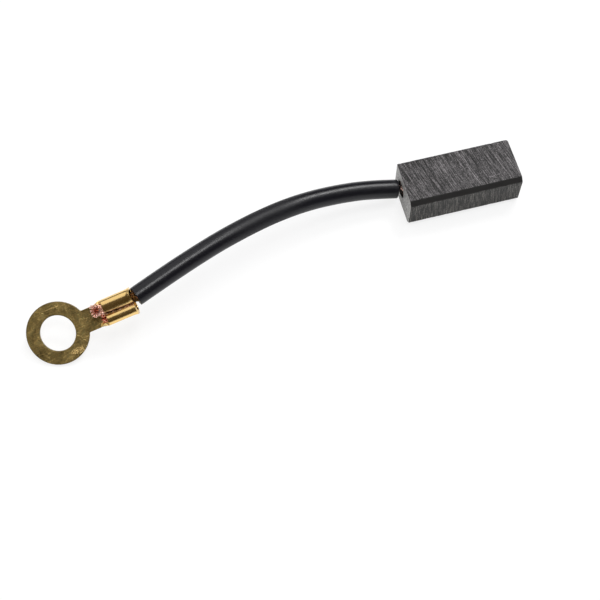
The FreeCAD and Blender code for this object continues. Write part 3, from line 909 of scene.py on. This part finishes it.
class BuildTamping(bpy.types.Operator):
    """Build the tamped powder that holds the flexible in the bore"""

    bl_idname = "carbon_brush.build_tamping"
    bl_label = "Tamping"

    def execute(self, context):
        block = context.scene.brush_block
        outside = block.bore / 2 - 0.01 * MM
        inside = context.scene.brush_lead.bundle / 2
        mouth, back = TAMPING_LOW.x, TAMPING_HIGH.x
        floor = back - 0.8 * MM
        profile = [(back, outside, 0.0), (mouth + 0.05 * MM, outside, 0.0)]
        for radius in even(outside - 0.03 * MM, inside + 0.03 * MM, 6):
            profile.append((mouth, radius, 0.10 * MM))
        profile += [(mouth + 0.12 * MM, inside, 0.0), (floor, inside, 0.0)]

        centre = Vector((block.bore_offset, block.thickness / 2))
        count = 96
        skin = Skin()
        rows = []
        for x, radius, crumbs in profile:
            row = []
            for index in range(count):
                y, z = centre + toward(math.tau * index / count) * radius
                lumps = noise.noise(Vector((y, z, 0)) / MM * 2.6)
                lumps += 0.6 * noise.noise(Vector((z, y, 4)) / MM * 6)
                row.append(Vector((x + crumbs * abs(lumps), y, z)))
            rows.append(skin.row(row))
        for before, after in zip(rows, rows[1:]):
            skin.join(before, after)
        skin.close(rows[0], Vector((back, *centre)))
        skin.close(rows[-1], Vector((floor, *centre)))
        piece = add_piece("tamped_powder", skin, [powder("tamped_powder", block.tamping_colour)])
        belongs(piece, "tamping")
        return {"FINISHED"}


# Lead: sleeve and copper wires along one smooth line

def smooth_line(points):
    """Points along the NURBS curve of the route."""
    curve = bpy.data.curves.new("route", "CURVE")
    curve.dimensions = "3D"
    curve.resolution_u = 14
    spline = curve.splines.new("NURBS")
    spline.points.add(len(points) - 1)
    for control, point in zip(spline.points, points):
        control.co = (*point, 1.0)
    spline.order_u = 3
    spline.use_endpoint_u = True
    holder = bpy.data.objects.new("route", curve)
    bpy.context.scene.collection.objects.link(holder)
    bpy.context.view_layer.update()
    mesh = bpy.data.meshes.new_from_object(holder)
    line = [vertex.co.copy() for vertex in mesh.vertices]
    bpy.data.objects.remove(holder)
    bpy.data.curves.remove(curve)
    bpy.data.meshes.remove(mesh)
    return line


class Course:
    """A line with a direction, a side and an up at each point, turned as little as possible."""

    def __init__(self, points):
        self.points = [Vector(point) for point in points]
        self.last = len(self.points) - 1
        self.runs = [0.0]
        for first, second in zip(self.points, self.points[1:]):
            self.runs.append(self.runs[-1] + (second - first).length)
        self.ways, self.sides, self.ups = [], [], []
        up = UP
        for index in range(self.last + 1):
            way = self.points[min(self.last, index + 1)] - self.points[max(0, index - 1)]
            way.normalize()
            up = (up - way * up.dot(way)).normalized()
            self.ways.append(way)
            self.ups.append(up)
            self.sides.append(way.cross(up))

    def offset(self, index, place):
        """A place on the section at one point, as an offset in space."""
        return self.sides[index] * place.x + self.ups[index] * place.y

    def ring(self, index, radius, count, forward=0.0):
        """Points round the line; radius may depend on the angle."""
        centre = self.points[index] + self.ways[index] * forward
        made = []
        for step in range(count):
            angle = math.tau * step / count
            reach = radius(angle) if callable(radius) else radius
            made.append(centre + self.offset(index, toward(angle)) * reach)
        return made


class BuildSleeve(bpy.types.Operator):
    """Build the black insulating sleeve over the flexible"""

    bl_idname = "carbon_brush.build_sleeve"
    bl_label = "Insulating sleeve"

    def execute(self, context):
        settings = context.scene.brush_lead
        course = Course(smooth_line(LEAD_POINTS))
        last = course.last
        outside, inside = settings.sleeve / 2, settings.sleeve_bore / 2
        rim = 0.07 * MM

        def uneven(run):
            """Radius of the outside at a distance along the sleeve."""
            def radius(angle):
                around = toward(angle) * 0.8
                return outside - 0.01 * MM * (1 + noise.noise(Vector((run * 0.35, *around))))
            return radius

        rows = [
            (0, inside + rim * 0.6, 0.0), (0, outside - rim, 0.0),
            (0, outside - rim * 0.3, rim * 0.3),
        ]
        rows += [(index, uneven(course.runs[index] / MM), 0.0) for index in range(1, last)]
        rows += [
            (last, outside - rim * 0.3, -rim * 0.3), (last, outside - rim, 0.0),
            (last, inside + rim * 0.6, 0.0), (last, inside, -rim * 0.5),
        ]
        rows += [(index, inside, 0.0) for index in range(last - 3, 0, -3)]
        rows.append((0, inside, rim * 0.5))
        skin = Skin()
        made = [skin.row(course.ring(index, radius, 72, ahead)) for index, radius, ahead in rows]
        for before, after in zip(made, made[1:] + made[:1]):
            skin.join(before, after)
        finish = rubber("black_sleeve", settings.sleeve_colour)
        piece = add_piece("lead_sleeve", skin, [finish], sharp=50.0)
        belongs(piece, "insulating_sleeve")
        [tuple(point) for point in course.points]
        return {"FINISHED"}


def terminal_frame(settings):
    """Ring centre on its underside; X to the barrel, Y to the back side, Z out of the ring."""
    turning = (
        Matrix.Rotation(settings.heading, 4, "Z")
        @ Matrix.Rotation(-settings.rise, 4, "Y")
        @ Matrix.Rotation(settings.lean, 4, "X")
    )
    normal = turning.col[2].to_3d()
    lift = settings.ring / 2 * math.sqrt(1 - normal.z ** 2)
    return Matrix.Translation((settings.centre_x, settings.centre_y, lift)) @ turning


def turned(vector, angle):
    cosine, sine = math.cos(angle), math.sin(angle)
    return Vector((vector.x * cosine - vector.y * sine, vector.x * sine + vector.y * cosine))


def bezier(first, second, third, fourth, steps):
    """Points along a curve from the first to the fourth point."""
    return [
        first * (1 - share) ** 3 + second * 3 * (1 - share) ** 2 * share
        + third * 3 * (1 - share) * share ** 2 + fourth * share ** 3
        for share in even(0, 1, steps)
    ]


class Barrel:
    """Section of the crimped barrel: two lobes with a seam between them."""

    bend = 1.2 * MM             # outside radius where the floor turns up into a wall
    gap = 0.012 * MM            # between the seam and each wing
    tip = 0.2 * MM              # how far the wings' tips press into the wires
    wall = 0.3 * MM             # straight wall above the bend
    flat_lip = 0.5 * MM         # part of the tongue's width that the neck turns into the wall
    front_outer = 0.85 * MM     # the front lobe: radius to its crown, and past it
    front_inner = 1.2 * MM
    front_slope = math.radians(53)
    back_outer = 1.4 * MM       # the back lobe: radius to its crown, and of its flat top
    back_crown = 2.0 * MM
    back_fall = math.radians(24)
    back_slope = math.radians(64)

    def __init__(self, settings):
        self.settings = settings
        self.side = settings.barrel_width / 2
        self.shift = settings.barrel_shift

    def seam(self, run):
        """Place of the seam on the section: it drifts from the back to the front."""
        settings = self.settings
        share = (run - settings.barrel_start) / (settings.barrel_end - settings.barrel_start)
        return SEAM_START + SEAM_DRIFT * share - self.shift

    def core_points(self, half_floor, fold, wall, columns):
        """Outside of floor, bend and wall, in even steps from the middle."""
        made = []
        for index in range(columns + 1):
            run = index / columns * (half_floor + self.bend * fold + wall)
            if run <= half_floor:
                made.append(Vector((run, 0.0)))
                continue
            turn_by = min(fold, (run - half_floor) / self.bend)
            rest = run - half_floor - self.bend * turn_by
            made.append(Vector((
                half_floor + self.bend * math.sin(turn_by),
                self.bend * (1 - math.cos(turn_by)),
            )) + toward(turn_by) * rest)
        return made

    def neck_half(self, share_of_neck, columns):
        """Half of the neck's section: the flat tongue folds up into floor and wall."""
        rise = ease(share_of_neck)
        half_tongue = self.settings.tongue / 2
        reach = half_tongue + (self.side - half_tongue) * share_of_neck
        wall = self.flat_lip + (self.wall - self.flat_lip) * rise
        fold = math.pi / 2 * rise
        floor = reach - self.bend * math.sin(fold) - wall * math.cos(fold)
        return self.core_points(floor, fold, wall, columns)

    def half(self, run, front, flare, columns):
        """Half of the barrel's outside from the middle of its floor to its wing's tip."""
        side = self.side + flare
        opening = self.gap + flare * 1.6
        seam = (-self.seam(run) if front else self.seam(run)) + opening
        points = self.core_points(side - self.bend, math.pi / 2, self.wall, columns)
        top = self.settings.barrel_height + flare
        crest = math.pi / 2
        if front:
            outer, sweep = self.front_outer, self.front_slope
            arcs = [(outer, 0.0, crest, 12), (self.front_inner, crest, crest + sweep, 12)]
        else:
            outer, sweep, fall = self.back_outer, self.back_slope, self.back_fall
            reach = side - outer - self.back_crown * math.sin(fall) - seam
            inner = reach / (math.sin(sweep) - math.sin(fall)) * 0.98
            arcs = [
                (outer, 0.0, crest, 12), (self.back_crown, crest, crest + fall, 5),
                (inner, crest + fall, crest + sweep, 7),
            ]
        wall_start, wall_end = points[-1].y, top - outer
        points += [Vector((side, wall_start + (wall_end - wall_start) * i / 2)) for i in (1, 2)]
        for radius, first, last, steps in arcs:
            centre = points[-1] - toward(first) * radius
            points += [centre + toward(angle) * radius for angle in even(first, last, steps)[1:]]
        end = points[-1]
        heading = -toward(sweep)
        corner = end + heading * ((end.x - seam) / max(1e-9, -heading.x))
        finish = Vector((seam, corner.y - self.tip))
        for share in even(0, 1, 8)[1:]:
            points.append(
                end * (1 - share) ** 2 + corner * 2 * share * (1 - share) + finish * share ** 2
            )
        return points

    def room(self, run):
        """Outline of the space for the wires inside the barrel."""
        outline = []
        for front in (False, True):
            wall = self.half(run, front, 0.0, 8)
            inside = []
            for before, after in zip(wall, wall[1:]):
                way = (after - before).normalized()
                middle = (before + after) / 2
                inside.append(middle + Vector((-way.y, way.x)) * self.settings.sheet)
            inside.append(wall[-1])
            if front:
                inside = [Vector((-place.x, place.y)) for place in reversed(inside)]
            outline += inside
        return outline

    def strand_places(self, run, number, near=None):
        """Places for the wires in the barrel; those nearest to a point, if one is given."""
        outline = self.room(run)
        clear = 0.083 * MM
        spacing = 0.21 * MM
        row_rise = 0.866
        found = []
        while len(found) < number:
            spacing *= 0.98
            found = []
            for row in range(int(2.6 * MM / (spacing * row_rise)) + 2):
                rise = self.settings.sheet + clear + row * spacing * row_rise
                shift = spacing / 2 if row % 2 else 0.0
                for column in range(-16, 17):
                    place = Vector((column * spacing + shift, rise))
                    if near is not None and (place - near).length > 1.25 * MM:
                        continue
                    if within(place, outline, clear):
                        found.append(place)
        if near is not None:
            found.sort(key=lambda place: (place - near).length)
        return [place + Vector((self.shift, 0)) for place in found[:number]]


def within(place, outline, clear):
    """Whether a place is inside an outline and clear of it."""
    inside = False
    for index, first in enumerate(outline):
        second = outline[index - 1]
        if (first.y > place.y) != (second.y > place.y):
            cut = first.x + (place.y - first.y) * (second.x - first.x) / (second.y - first.y)
            if place.x < cut:
                inside = not inside
        way = second - first
        if way.length_squared:
            share = min(1.0, max(0.0, (place - first).dot(way) / way.length_squared))
            if (first + way * share - place).length < clear:
                return False
    return inside


def matched(starts, ends):
    """The ends in an order in which wires that start as neighbours stay neighbours."""
    columns = 11
    order_start = sorted(range(len(starts)), key=lambda i: starts[i].x)
    order_end = sorted(range(len(ends)), key=lambda i: ends[i].x)
    size_of_column = math.ceil(len(starts) / columns)
    pairs = {}
    for low in range(0, len(starts), size_of_column):
        one = sorted(order_start[low:low + size_of_column], key=lambda i: starts[i].y)
        other = sorted(order_end[low:low + size_of_column], key=lambda i: ends[i].y)
        pairs.update(zip(one, other))
    return [ends[pairs[i]] for i in range(len(starts))]


# Finishes of the wires: bright copper; aged copper, also painted shade; painted shade between the
# sleeve and the barrel; painted shade in the bore
BRIGHT, AGED_AND_SHADED, SHADED, SHADED_IN_BORE = range(4)


class Flexible:
    """The wires' paths from the bore through sleeve and barrel to their cut ends."""

    gathered = Vector((0.85, 1.50)) * MM        # middle of the wires in the barrel's mouth
    rosette = Vector((8.03, 1.20, 0.0)) * MM    # middle of the splayed ends over the tongue
    rosette_reach = 1.20 * MM
    petal = 0.57                                # angle of one clump of ends in the rosette

    def __init__(self, settings, block, terminal):
        self.settings = settings
        self.barrel = Barrel(terminal)
        self.placed = terminal_frame(terminal)
        self.course = Course(smooth_line(LEAD_POINTS))
        self.front = terminal.barrel_start
        self.mouth_run = terminal.barrel_end - 0.05 * MM
        self.inner_run = terminal.barrel_end - 1.7 * MM
        self.buried = [
            Vector((x * MM, block.bore_offset, block.thickness / 2)) for x in BURIED_AT
        ]
        self.draws = random.Random(11)

    def wires(self):
        """Where each wire lies in the flexible: its strand and its place in the strand."""
        spacing = self.settings.wire * 1.005
        reach = self.settings.bundle / 2 - self.settings.wire * 2.5
        strands = [Vector((0, 0))]
        strands += [toward(math.radians(degrees)) * reach for degrees in range(0, 360, 60)]
        wires = [Vector((0, 0))]
        wires += [toward(math.tau * index / 6) * spacing for index in range(6)]
        wires += [toward(math.tau * (index + 0.5) / 12) * spacing * 1.96 for index in range(12)]
        return [(strand, wire) for strand in strands for wire in wires]

    def laid(self, wire, run):
        """Offset of a wire from the middle line, at a distance along it."""
        strand, place = wire
        first = turned(strand, math.tau * run / self.settings.rope_lay)
        return first + turned(place, -math.tau * run / self.settings.strand_lay)

    def paths(self):
        """For each wire its path, and the finish of each of its parts from point to point."""
        wires = self.wires()
        across, upward = (self.placed.col[axis].to_3d() for axis in (1, 2))
        starts = []
        for wire in wires:
            reach = self.course.offset(-1, self.laid(wire, self.course.runs[-1]))
            starts.append(Vector((reach.dot(across), reach.dot(upward))))
        in_mouth = self.barrel.strand_places(self.mouth_run, len(wires), near=self.gathered)
        mouths = matched(starts, in_mouth)
        inners = matched(mouths, self.barrel.strand_places(self.inner_run, len(wires)))
        for number, (wire, mouth, inner) in enumerate(zip(wires, mouths, inners)):
            covered = self.covered_path(wire)
            crimped = self.crimped_path(wire, mouth, inner)
            cut, kind = self.cut_end(inner)
            # In the bore the wires are painted nearly black as shade, except two in three of those
            # on the side that shows
            buried_kind = BRIGHT if number % 3 and self.faces_out(wire) else SHADED_IN_BORE
            kinds = [buried_kind] * len(self.buried)
            kinds += [kind] * (len(covered) - 1 - len(kinds))
            # From just inside the sleeve's end into the barrel the wires take painted shade
            kinds += [SHADED] * (len(crimped) + 1) + [kind] * (len(cut) - 1)
            yield covered + crimped + cut, kinds

    def faces_out(self, wire):
        """Whether a wire lies on the side of the flexible that shows at the bore."""
        out = self.laid(wire, -0.6 * MM)
        facing = abs(math.atan2(out.y, out.x) - math.radians(60)) < math.radians(34)
        return facing and out.length > 0.6 * MM

    def covered_path(self, wire):
        """From the bottom of the bore to just inside the sleeve's end."""
        course = self.course
        path = []
        for point in self.buried:
            place = self.laid(wire, -(point - course.points[0]).length)
            path.append(point + Vector((0, -place.x, place.y)))
        for index in range(0, course.last + 1, 2):
            if course.runs[index] > course.runs[-1] - 0.9 * MM:
                break
            place = self.laid(wire, course.runs[index])
            path.append(course.points[index] + course.offset(index, place))
        return path

    def crimped_path(self, wire, mouth, inner):
        """From the sleeve's end to the barrel's mouth, and on between two of its sections."""
        course = self.course
        short = 0.3 * MM
        place = self.laid(wire, course.runs[-1] - short)
        leave = course.points[-1] - course.ways[-1] * short + course.offset(-1, place)
        entry = self.placed @ Vector((self.mouth_run, *mouth))
        handle = (entry - leave).length * 0.4
        out_of_barrel = self.placed.col[0].to_3d()
        path = bezier(
            leave, leave + course.ways[-1] * handle, entry + out_of_barrel * handle, entry, 6,
        )
        for share in (0.2, 0.4, 0.6, 0.8, 1.0):
            run = self.mouth_run + (self.inner_run - self.mouth_run) * share
            path.append(self.placed @ Vector((run, *mouth.lerp(inner, ease(share)))))
        return path

    def cut_end(self, place):
        """One wire from inside the barrel to its cut end, and the finish of that end."""
        inside = Vector((self.front + 0.6 * MM, place.x, place.y))
        seam = self.barrel.seam(self.front) + self.barrel.shift
        if place.x > seam - 0.15 * MM:
            second, third, tip, kind = self.splayed_end(place, inside)
        else:
            second, third, tip, kind = self.plain_end(place, inside)
        return [self.placed @ point for point in bezier(inside, second, third, tip, 9)], kind

    def splayed_end(self, place, inside):
        """An end behind the seam, which spreads over the tongue as part of a rosette."""
        draws = self.draws
        across = (place.x - 0.95 * MM) / (0.85 * MM)
        rise = (place.y - 1.40 * MM) / (0.85 * MM)
        reach = min(1.0, math.hypot(across, rise))
        bearing = math.atan2(across, rise) + draws.uniform(-0.12, 0.12)
        clump = round(bearing / self.petal)
        bearing = bearing * 0.88 + clump * self.petal * 0.12
        reach = reach ** 0.75 * self.rosette_reach + draws.uniform(-0.07, 0.05) * MM
        share = reach / self.rosette_reach
        away = toward(bearing).to_3d()
        core = Vector((0.07, -0.42, 0.0)) * MM * max(0.0, 1 - share) ** 1.5
        tip = self.rosette + away * reach * (1 - 0.03 * (clump % 2)) + core
        tip.z = (2.05 + 0.75 * math.sin(min(1.0, share) * 2.1) + draws.uniform(-0.12, 0.12)) * MM
        tip.x = min(tip.x, self.front + 0.22 * MM)
        lean = (away * (0.25 + 0.75 * share) + UP * 0.8).normalized()
        second = inside + Vector((-0.75 * MM, (1.0 * MM - place.x) * 0.2, 0.0))
        third = tip - lean * 0.8 * MM
        third.x = min(third.x, self.front - 0.1 * MM)
        # Ends near the rosette's middle take the darker copper, painted shade among the crowded
        # wires
        return second, third, tip, BRIGHT if share > 0.55 else AGED_AND_SHADED

    def plain_end(self, place, inside):
        """An end before the seam, cut short in front of the barrel."""
        draws = self.draws
        past = draws.uniform(0.25, 0.75) * MM
        rise = draws.uniform(0.05, 0.35) * MM
        tip = Vector((self.front - past, place.x * 1.02 + 0.1 * MM, place.y + rise))
        second = inside + Vector((-0.3 * MM, 0.0, 0.0))
        sway, droop = draws.uniform(-0.04, 0.04) * MM, draws.uniform(-0.1, 0.0) * MM
        # These ends take the darker copper: aged, and painted shade before the barrel's mouth
        return second, tip + Vector((0.25 * MM, sway, droop)), tip, AGED_AND_SHADED


class BuildWires(bpy.types.Operator):
    """Build the copper wires of the flexible, from the bore to their cut ends in the crimp"""

    bl_idname = "carbon_brush.build_wires"
    bl_label = "Copper wires"

    def execute(self, context):
        scene = context.scene
        settings = scene.brush_lead
        skin = Skin()
        for path, kinds in Flexible(settings, scene.brush_block, scene.brush_terminal).paths():
            self.add_wire(skin, path, settings.wire / 2, kinds)
        bright, aged = settings.copper_colour, settings.dark_copper_colour
        finishes = [
            copper("copper_wire", bright, aged, 0.66, 0.85),
            copper("aged_and_shaded_copper_wire", bright, aged, 0.40, 1.0),
            copper("shaded_copper_wire", aged, settings.shaded_copper_colour, 0.34, 1.0),
            # Wires in the bore: nearly black, painted shade
            copper("bore_shaded_copper_wire", darker(aged, 0.08), BORE_SHADE_BLACK, 0.45, 0.4),
        ]
        piece = add_piece("copper_wires", skin, finishes, sharp=60.0)
        belongs(piece, "copper_flexible")
        return {"FINISHED"}

    def add_wire(self, skin, path, radius, kinds):
        """Tube of six sides along a path, closed at both ends."""
        course = Course(path)
        rows = [skin.row(course.ring(index, radius, 6)) for index in range(len(path))]
        for before, after, kind in zip(rows, rows[1:], kinds):
            skin.join(before, after, kind)
        skin.face(reversed(rows[0]), kinds[-1])
        skin.face(rows[-1], kinds[-1])


class BuildTerminal(bpy.types.Operator):
    """Build the brass ring terminal: ring, tongue, folded neck and crimped barrel"""

    bl_idname = "carbon_brush.build_terminal"
    bl_label = "Ring terminal"

    core = 14       # points from the middle of the sheet to the end of its straight wall

    def execute(self, context):
        settings = context.scene.brush_terminal
        placed = terminal_frame(settings)
        skin = Skin()
        tongue_end = self.add_neck_and_barrel(settings, skin)
        self.add_plate(settings, tongue_end, skin)
        skin.points = [placed @ point for point in skin.points]
        finish = brass("rolled_brass", settings, placed)
        piece = add_piece("brass_ring_terminal", skin, [finish], outward=False)
        if piece.data.polygons[-1].normal.dot(placed.col[2].to_3d()) > 0:
            piece.data.flip_normals()
        self.thicken(piece, settings)
        belongs(piece, "ring_terminal")
        return {"FINISHED"}

    def thicken(self, piece, settings):
        """Give the outside of the sheet its thickness and its rounded edges."""
        solid = piece.modifiers.new("sheet", "SOLIDIFY")
        solid.thickness = settings.sheet
        solid.offset = -1.0
        solid.use_even_offset = True
        solid.use_quality_normals = True
        rounding = piece.modifiers.new("edges", "BEVEL")
        rounding.width = settings.edge
        rounding.segments = 2
        rounding.limit_method = "ANGLE"
        rounding.angle_limit = math.radians(50)
        bpy.context.view_layer.update()
        evaluated = piece.evaluated_get(bpy.context.evaluated_depsgraph_get())
        mesh = bpy.data.meshes.new_from_object(evaluated)
        piece.modifiers.clear()
        piece.data = mesh
        smooth(mesh, 40.0)

    def add_neck_and_barrel(self, settings, skin):
        """Outside of the sheet from the tongue's end to the wire end. Gives the tongue's end."""
        barrel = Barrel(settings)
        start, front, end = settings.neck_start, settings.barrel_start, settings.barrel_end
        flared = end - 0.9 * MM
        stations = spread(start, front, 0.12 * MM)[:-1] + spread(front, flared, 0.25 * MM)[:-1]
        rows = []
        for run in stations + spread(flared, end, 0.1 * MM):
            share = (run - start) / (front - start)
            if run < front:
                halves = [barrel.neck_half(share, self.core)] * 2
            else:
                flare = settings.bell * max(0.0, 1 - (end - run) / (0.8 * MM)) ** 1.6
                halves = [barrel.half(run, lobe, flare, self.core) for lobe in (True, False)]
            shift = barrel.shift * ease(share)
            row = {}
            for side, half in zip((-1, 1), halves):
                for index, place in enumerate(half):
                    if index or side > 0:
                        lean = self.lean(run - front, place.y)
                        point = Vector((run + lean, shift + side * place.x, place.y))
                        row[side * index] = skin.row([point])[0]
            rows.append(row)
        for before, after in zip(rows, rows[1:]):
            for index in sorted(before):
                following = index + 1
                corners = [before.get(index), before.get(following)]
                corners += [after.get(following), after.get(index)]
                if None not in corners:
                    skin.face(corners)
        return [rows[0][index] for index in range(-self.core, self.core + 1)]

    def lean(self, past_front, rise):
        """How far the lobes lie back from the barrel's front edge."""
        if past_front < 0:
            return 0.0
        near_front = max(0.0, 1 - past_front / (1.6 * MM))
        return 0.42 * MM * near_front * ease((rise - 1.6 * MM) / (1.2 * MM))

    def add_plate(self, settings, tongue_end, skin):
        """Underside of ring and tongue, from the outline to the hole."""
        radius, half = settings.ring / 2 - 0.002 * MM, settings.tongue / 2
        fillet = settings.fillet
        fillet_x = math.sqrt((radius + fillet) ** 2 - (half + fillet) ** 2)
        touch = math.atan2(half + fillet, fillet_x)
        fillet_centre = Vector((fillet_x, half + fillet))
        back_side = [Vector((run, half)) for run in even(settings.neck_start, fillet_x, 8)[1:]]
        for angle in even(-math.pi / 2, touch - math.pi, 5)[1:]:
            back_side.append(fillet_centre + toward(angle) * fillet)
        arc = [toward(angle) * radius for angle in even(touch, math.tau - touch, 180)[1:-1]]
        front_side = [Vector((point.x, -point.y)) for point in reversed(back_side)]
        added = [point.to_3d() for point in back_side + arc + front_side]
        outline = [skin.points[number] for number in tongue_end] + added
        row = [*tongue_end, *skin.row(added)]
        for share in (0.06, 0.15, 0.27, 0.4, 0.53, 0.66, 0.78, 0.89, 1.0):
            made = []
            for point in outline:
                rim = toward(math.atan2(point.y, point.x)) * (settings.hole / 2)
                made.append(point.lerp(rim.to_3d(), share))
            after = skin.row(made)
            skin.join(after, row)
            row = after


# Stage: floor, soft lamps, background and camera

# What shines back from gloss and metal: the room before and behind the camera, and its ceiling
ROOM_FRONT = (0.44, 0.44, 0.44)
ROOM_BACK = (0.26, 0.26, 0.26)
ROOM_CEILING = (0.062, 0.046, 0.024)
ROOM_LIGHT = (0.26, 0.26, 0.27)

# Name, place, aim, roll in degrees, width, height and power of each lamp
SOFT_LAMPS = (
    ("soft_lamp_back", (-0.20, 0.32, 0.413), (-0.04, 0.0, 0.0), 0.0, 0.52, 0.56, 0.88),
    ("soft_lamp_left", (-0.50, 0.02, 0.16), (-0.03, 0.0, 0.0), 0.0, 0.30, 0.26, 0.58),
    ("soft_lamp_above", (0.038, -0.040, 0.497), (-0.050, -0.006, 0.008), -19.0, 0.25, 0.14, 1.25),
    ("soft_lamp_right", (0.190, 0.180, 0.42), (-0.02, 0.0, 0.0), 0.0, 0.17, 0.13, 1.20),
)


class BuildStage(bpy.types.Operator):
    """Build the pale floor, the soft lamps, the background and the camera"""

    bl_idname = "carbon_brush.build_stage"
    bl_label = "Stage"

    def execute(self, context):
        settings = context.scene.brush_stage
        self.add_floor(settings)
        self.set_background(context.scene)
        for lamp in SOFT_LAMPS:
            self.add_lamp(*lamp)
        self.add_camera(context.scene, settings)
        context.scene.view_settings.view_transform = "Standard"
        return {"FINISHED"}

    def add_floor(self, settings):
        """Round floor just under the object. It goes to white where the camera sees it."""
        material = bpy.data.materials.new("pale_floor")
        material.use_nodes = True
        material.node_tree.nodes.clear()
        shader = Shader(material.node_tree)
        lit = shader.node("BsdfDiffuse", None, {"Color": settings.floor_colour})
        white = shader.node("Emission", None, {"Color": WHITE})
        shader.finish_with("OutputMaterial", shader.seen_directly(0.80, 0.45), lit, white)

        reach, segments = 3.0, 64
        skin = Skin()
        rim = skin.row(
            (toward(math.tau * i / segments) * reach).to_3d() for i in range(segments)
        )
        skin.close(rim, Vector((0, 0, 0)))
        floor = add_piece("pale_floor", skin, [material], outward=False)
        floor.location.z = -0.02 * MM
        floor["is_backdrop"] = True

    def set_background(self, scene):
        """Even light, a plain room for what shines, and white for the camera."""
        scene.world = bpy.data.worlds.new("studio")
        scene.world.use_nodes = True
        scene.world.node_tree.nodes.clear()
        shader = Shader(scene.world.node_tree)
        _, depth, height = shader.parts(shader.node("TexCoord").outputs["Generated"])
        walls = shader.blend(depth.rising(-0.3, 0.3), ROOM_FRONT, ROOM_BACK)
        room = shader.blend(height.rising(0.05, 0.25), walls, ROOM_CEILING)
        shown = shader.blend(shader.rays("Camera"), room, WHITE)
        shader.finish_with(
            "OutputWorld", shader.seen_directly(1.0, 1.0),
            shader.node("Background", None, {"Color": ROOM_LIGHT}),
            shader.node("Background", None, {"Color": shown}),
        )

    def add_lamp(self, name, place, aim, roll, wide, high, power):
        lamp = bpy.data.lights.new(name, "AREA")
        lamp.shape = "RECTANGLE"
        lamp.size = wide
        lamp.size_y = high
        lamp.energy = power
        holder = self.add_aimed(name, lamp, Vector(place), Vector(aim))
        holder.rotation_quaternion @= Quaternion((0, 0, 1), math.radians(roll))

    def add_camera(self, scene, settings):
        camera = bpy.data.cameras.new("camera")
        camera.sensor_width = 36.0
        camera.lens = settings.lens
        camera.clip_start = 0.01
        camera.clip_end = 10.0
        place, aim = Vector(settings.camera), Vector(settings.aim)
        scene.camera = self.add_aimed("camera", camera, place, aim)

    def add_aimed(self, name, data, place, aim):
        """A lamp or a camera at a place, turned to a point."""
        holder = bpy.data.objects.new(name, data)
        holder.location = place
        holder.rotation_mode = "QUATERNION"
        holder.rotation_quaternion = (aim - place).to_track_quat("-Z", "Y")
        bpy.context.scene.collection.objects.link(holder)
        return holder


class CarbonBrushPanel(bpy.types.Panel):
    """Sizes, colours and build buttons of the carbon brush"""

    bl_idname = "VIEW3D_PT_carbon_brush"
    bl_label = "Carbon brush"
    bl_space_type = "VIEW_3D"
    bl_region_type = "UI"
    bl_category = "Carbon brush"

    def draw(self, context):
        for group in GROUPS:
            box = self.layout.box()
            box.label(text=group.replace("brush_", "").capitalize())
            settings = getattr(context.scene, group)
            for name in settings.__annotations__:
                box.prop(settings, name)
        for operator in BUILD_ORDER:
            self.layout.operator(operator.bl_idname)


GROUPS = {
    "brush_block": BlockSettings,
    "brush_lead": LeadSettings,
    "brush_terminal": TerminalSettings,
    "brush_stage": StageSettings,
}
BUILD_ORDER = (
    BuildCarbonBlock, BuildTamping, BuildWires, BuildTerminal, BuildSleeve, BuildStage,
)


def register():
    for kind in (*GROUPS.values(), *BUILD_ORDER, CarbonBrushPanel):
        bpy.utils.register_class(kind)
    for name, kind in GROUPS.items():
        setattr(bpy.types.Scene, name, bpy.props.PointerProperty(type=kind))


def unregister():
    for name in GROUPS:
        delattr(bpy.types.Scene, name)
    for kind in reversed((*GROUPS.values(), *BUILD_ORDER, CarbonBrushPanel)):
        bpy.utils.unregister_class(kind)


def main():
    register()
    for operator in BUILD_ORDER:
        group, name = operator.bl_idname.split(".")
        getattr(getattr(bpy.ops, group), name)()
    bpy.context.view_layer.update()
    boxes = {"cad": CAD_BOX, "visual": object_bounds()}
    {name: [list(corner) for corner in box] for name, box in boxes.items()}


if __name__ == "__main__":
    main()
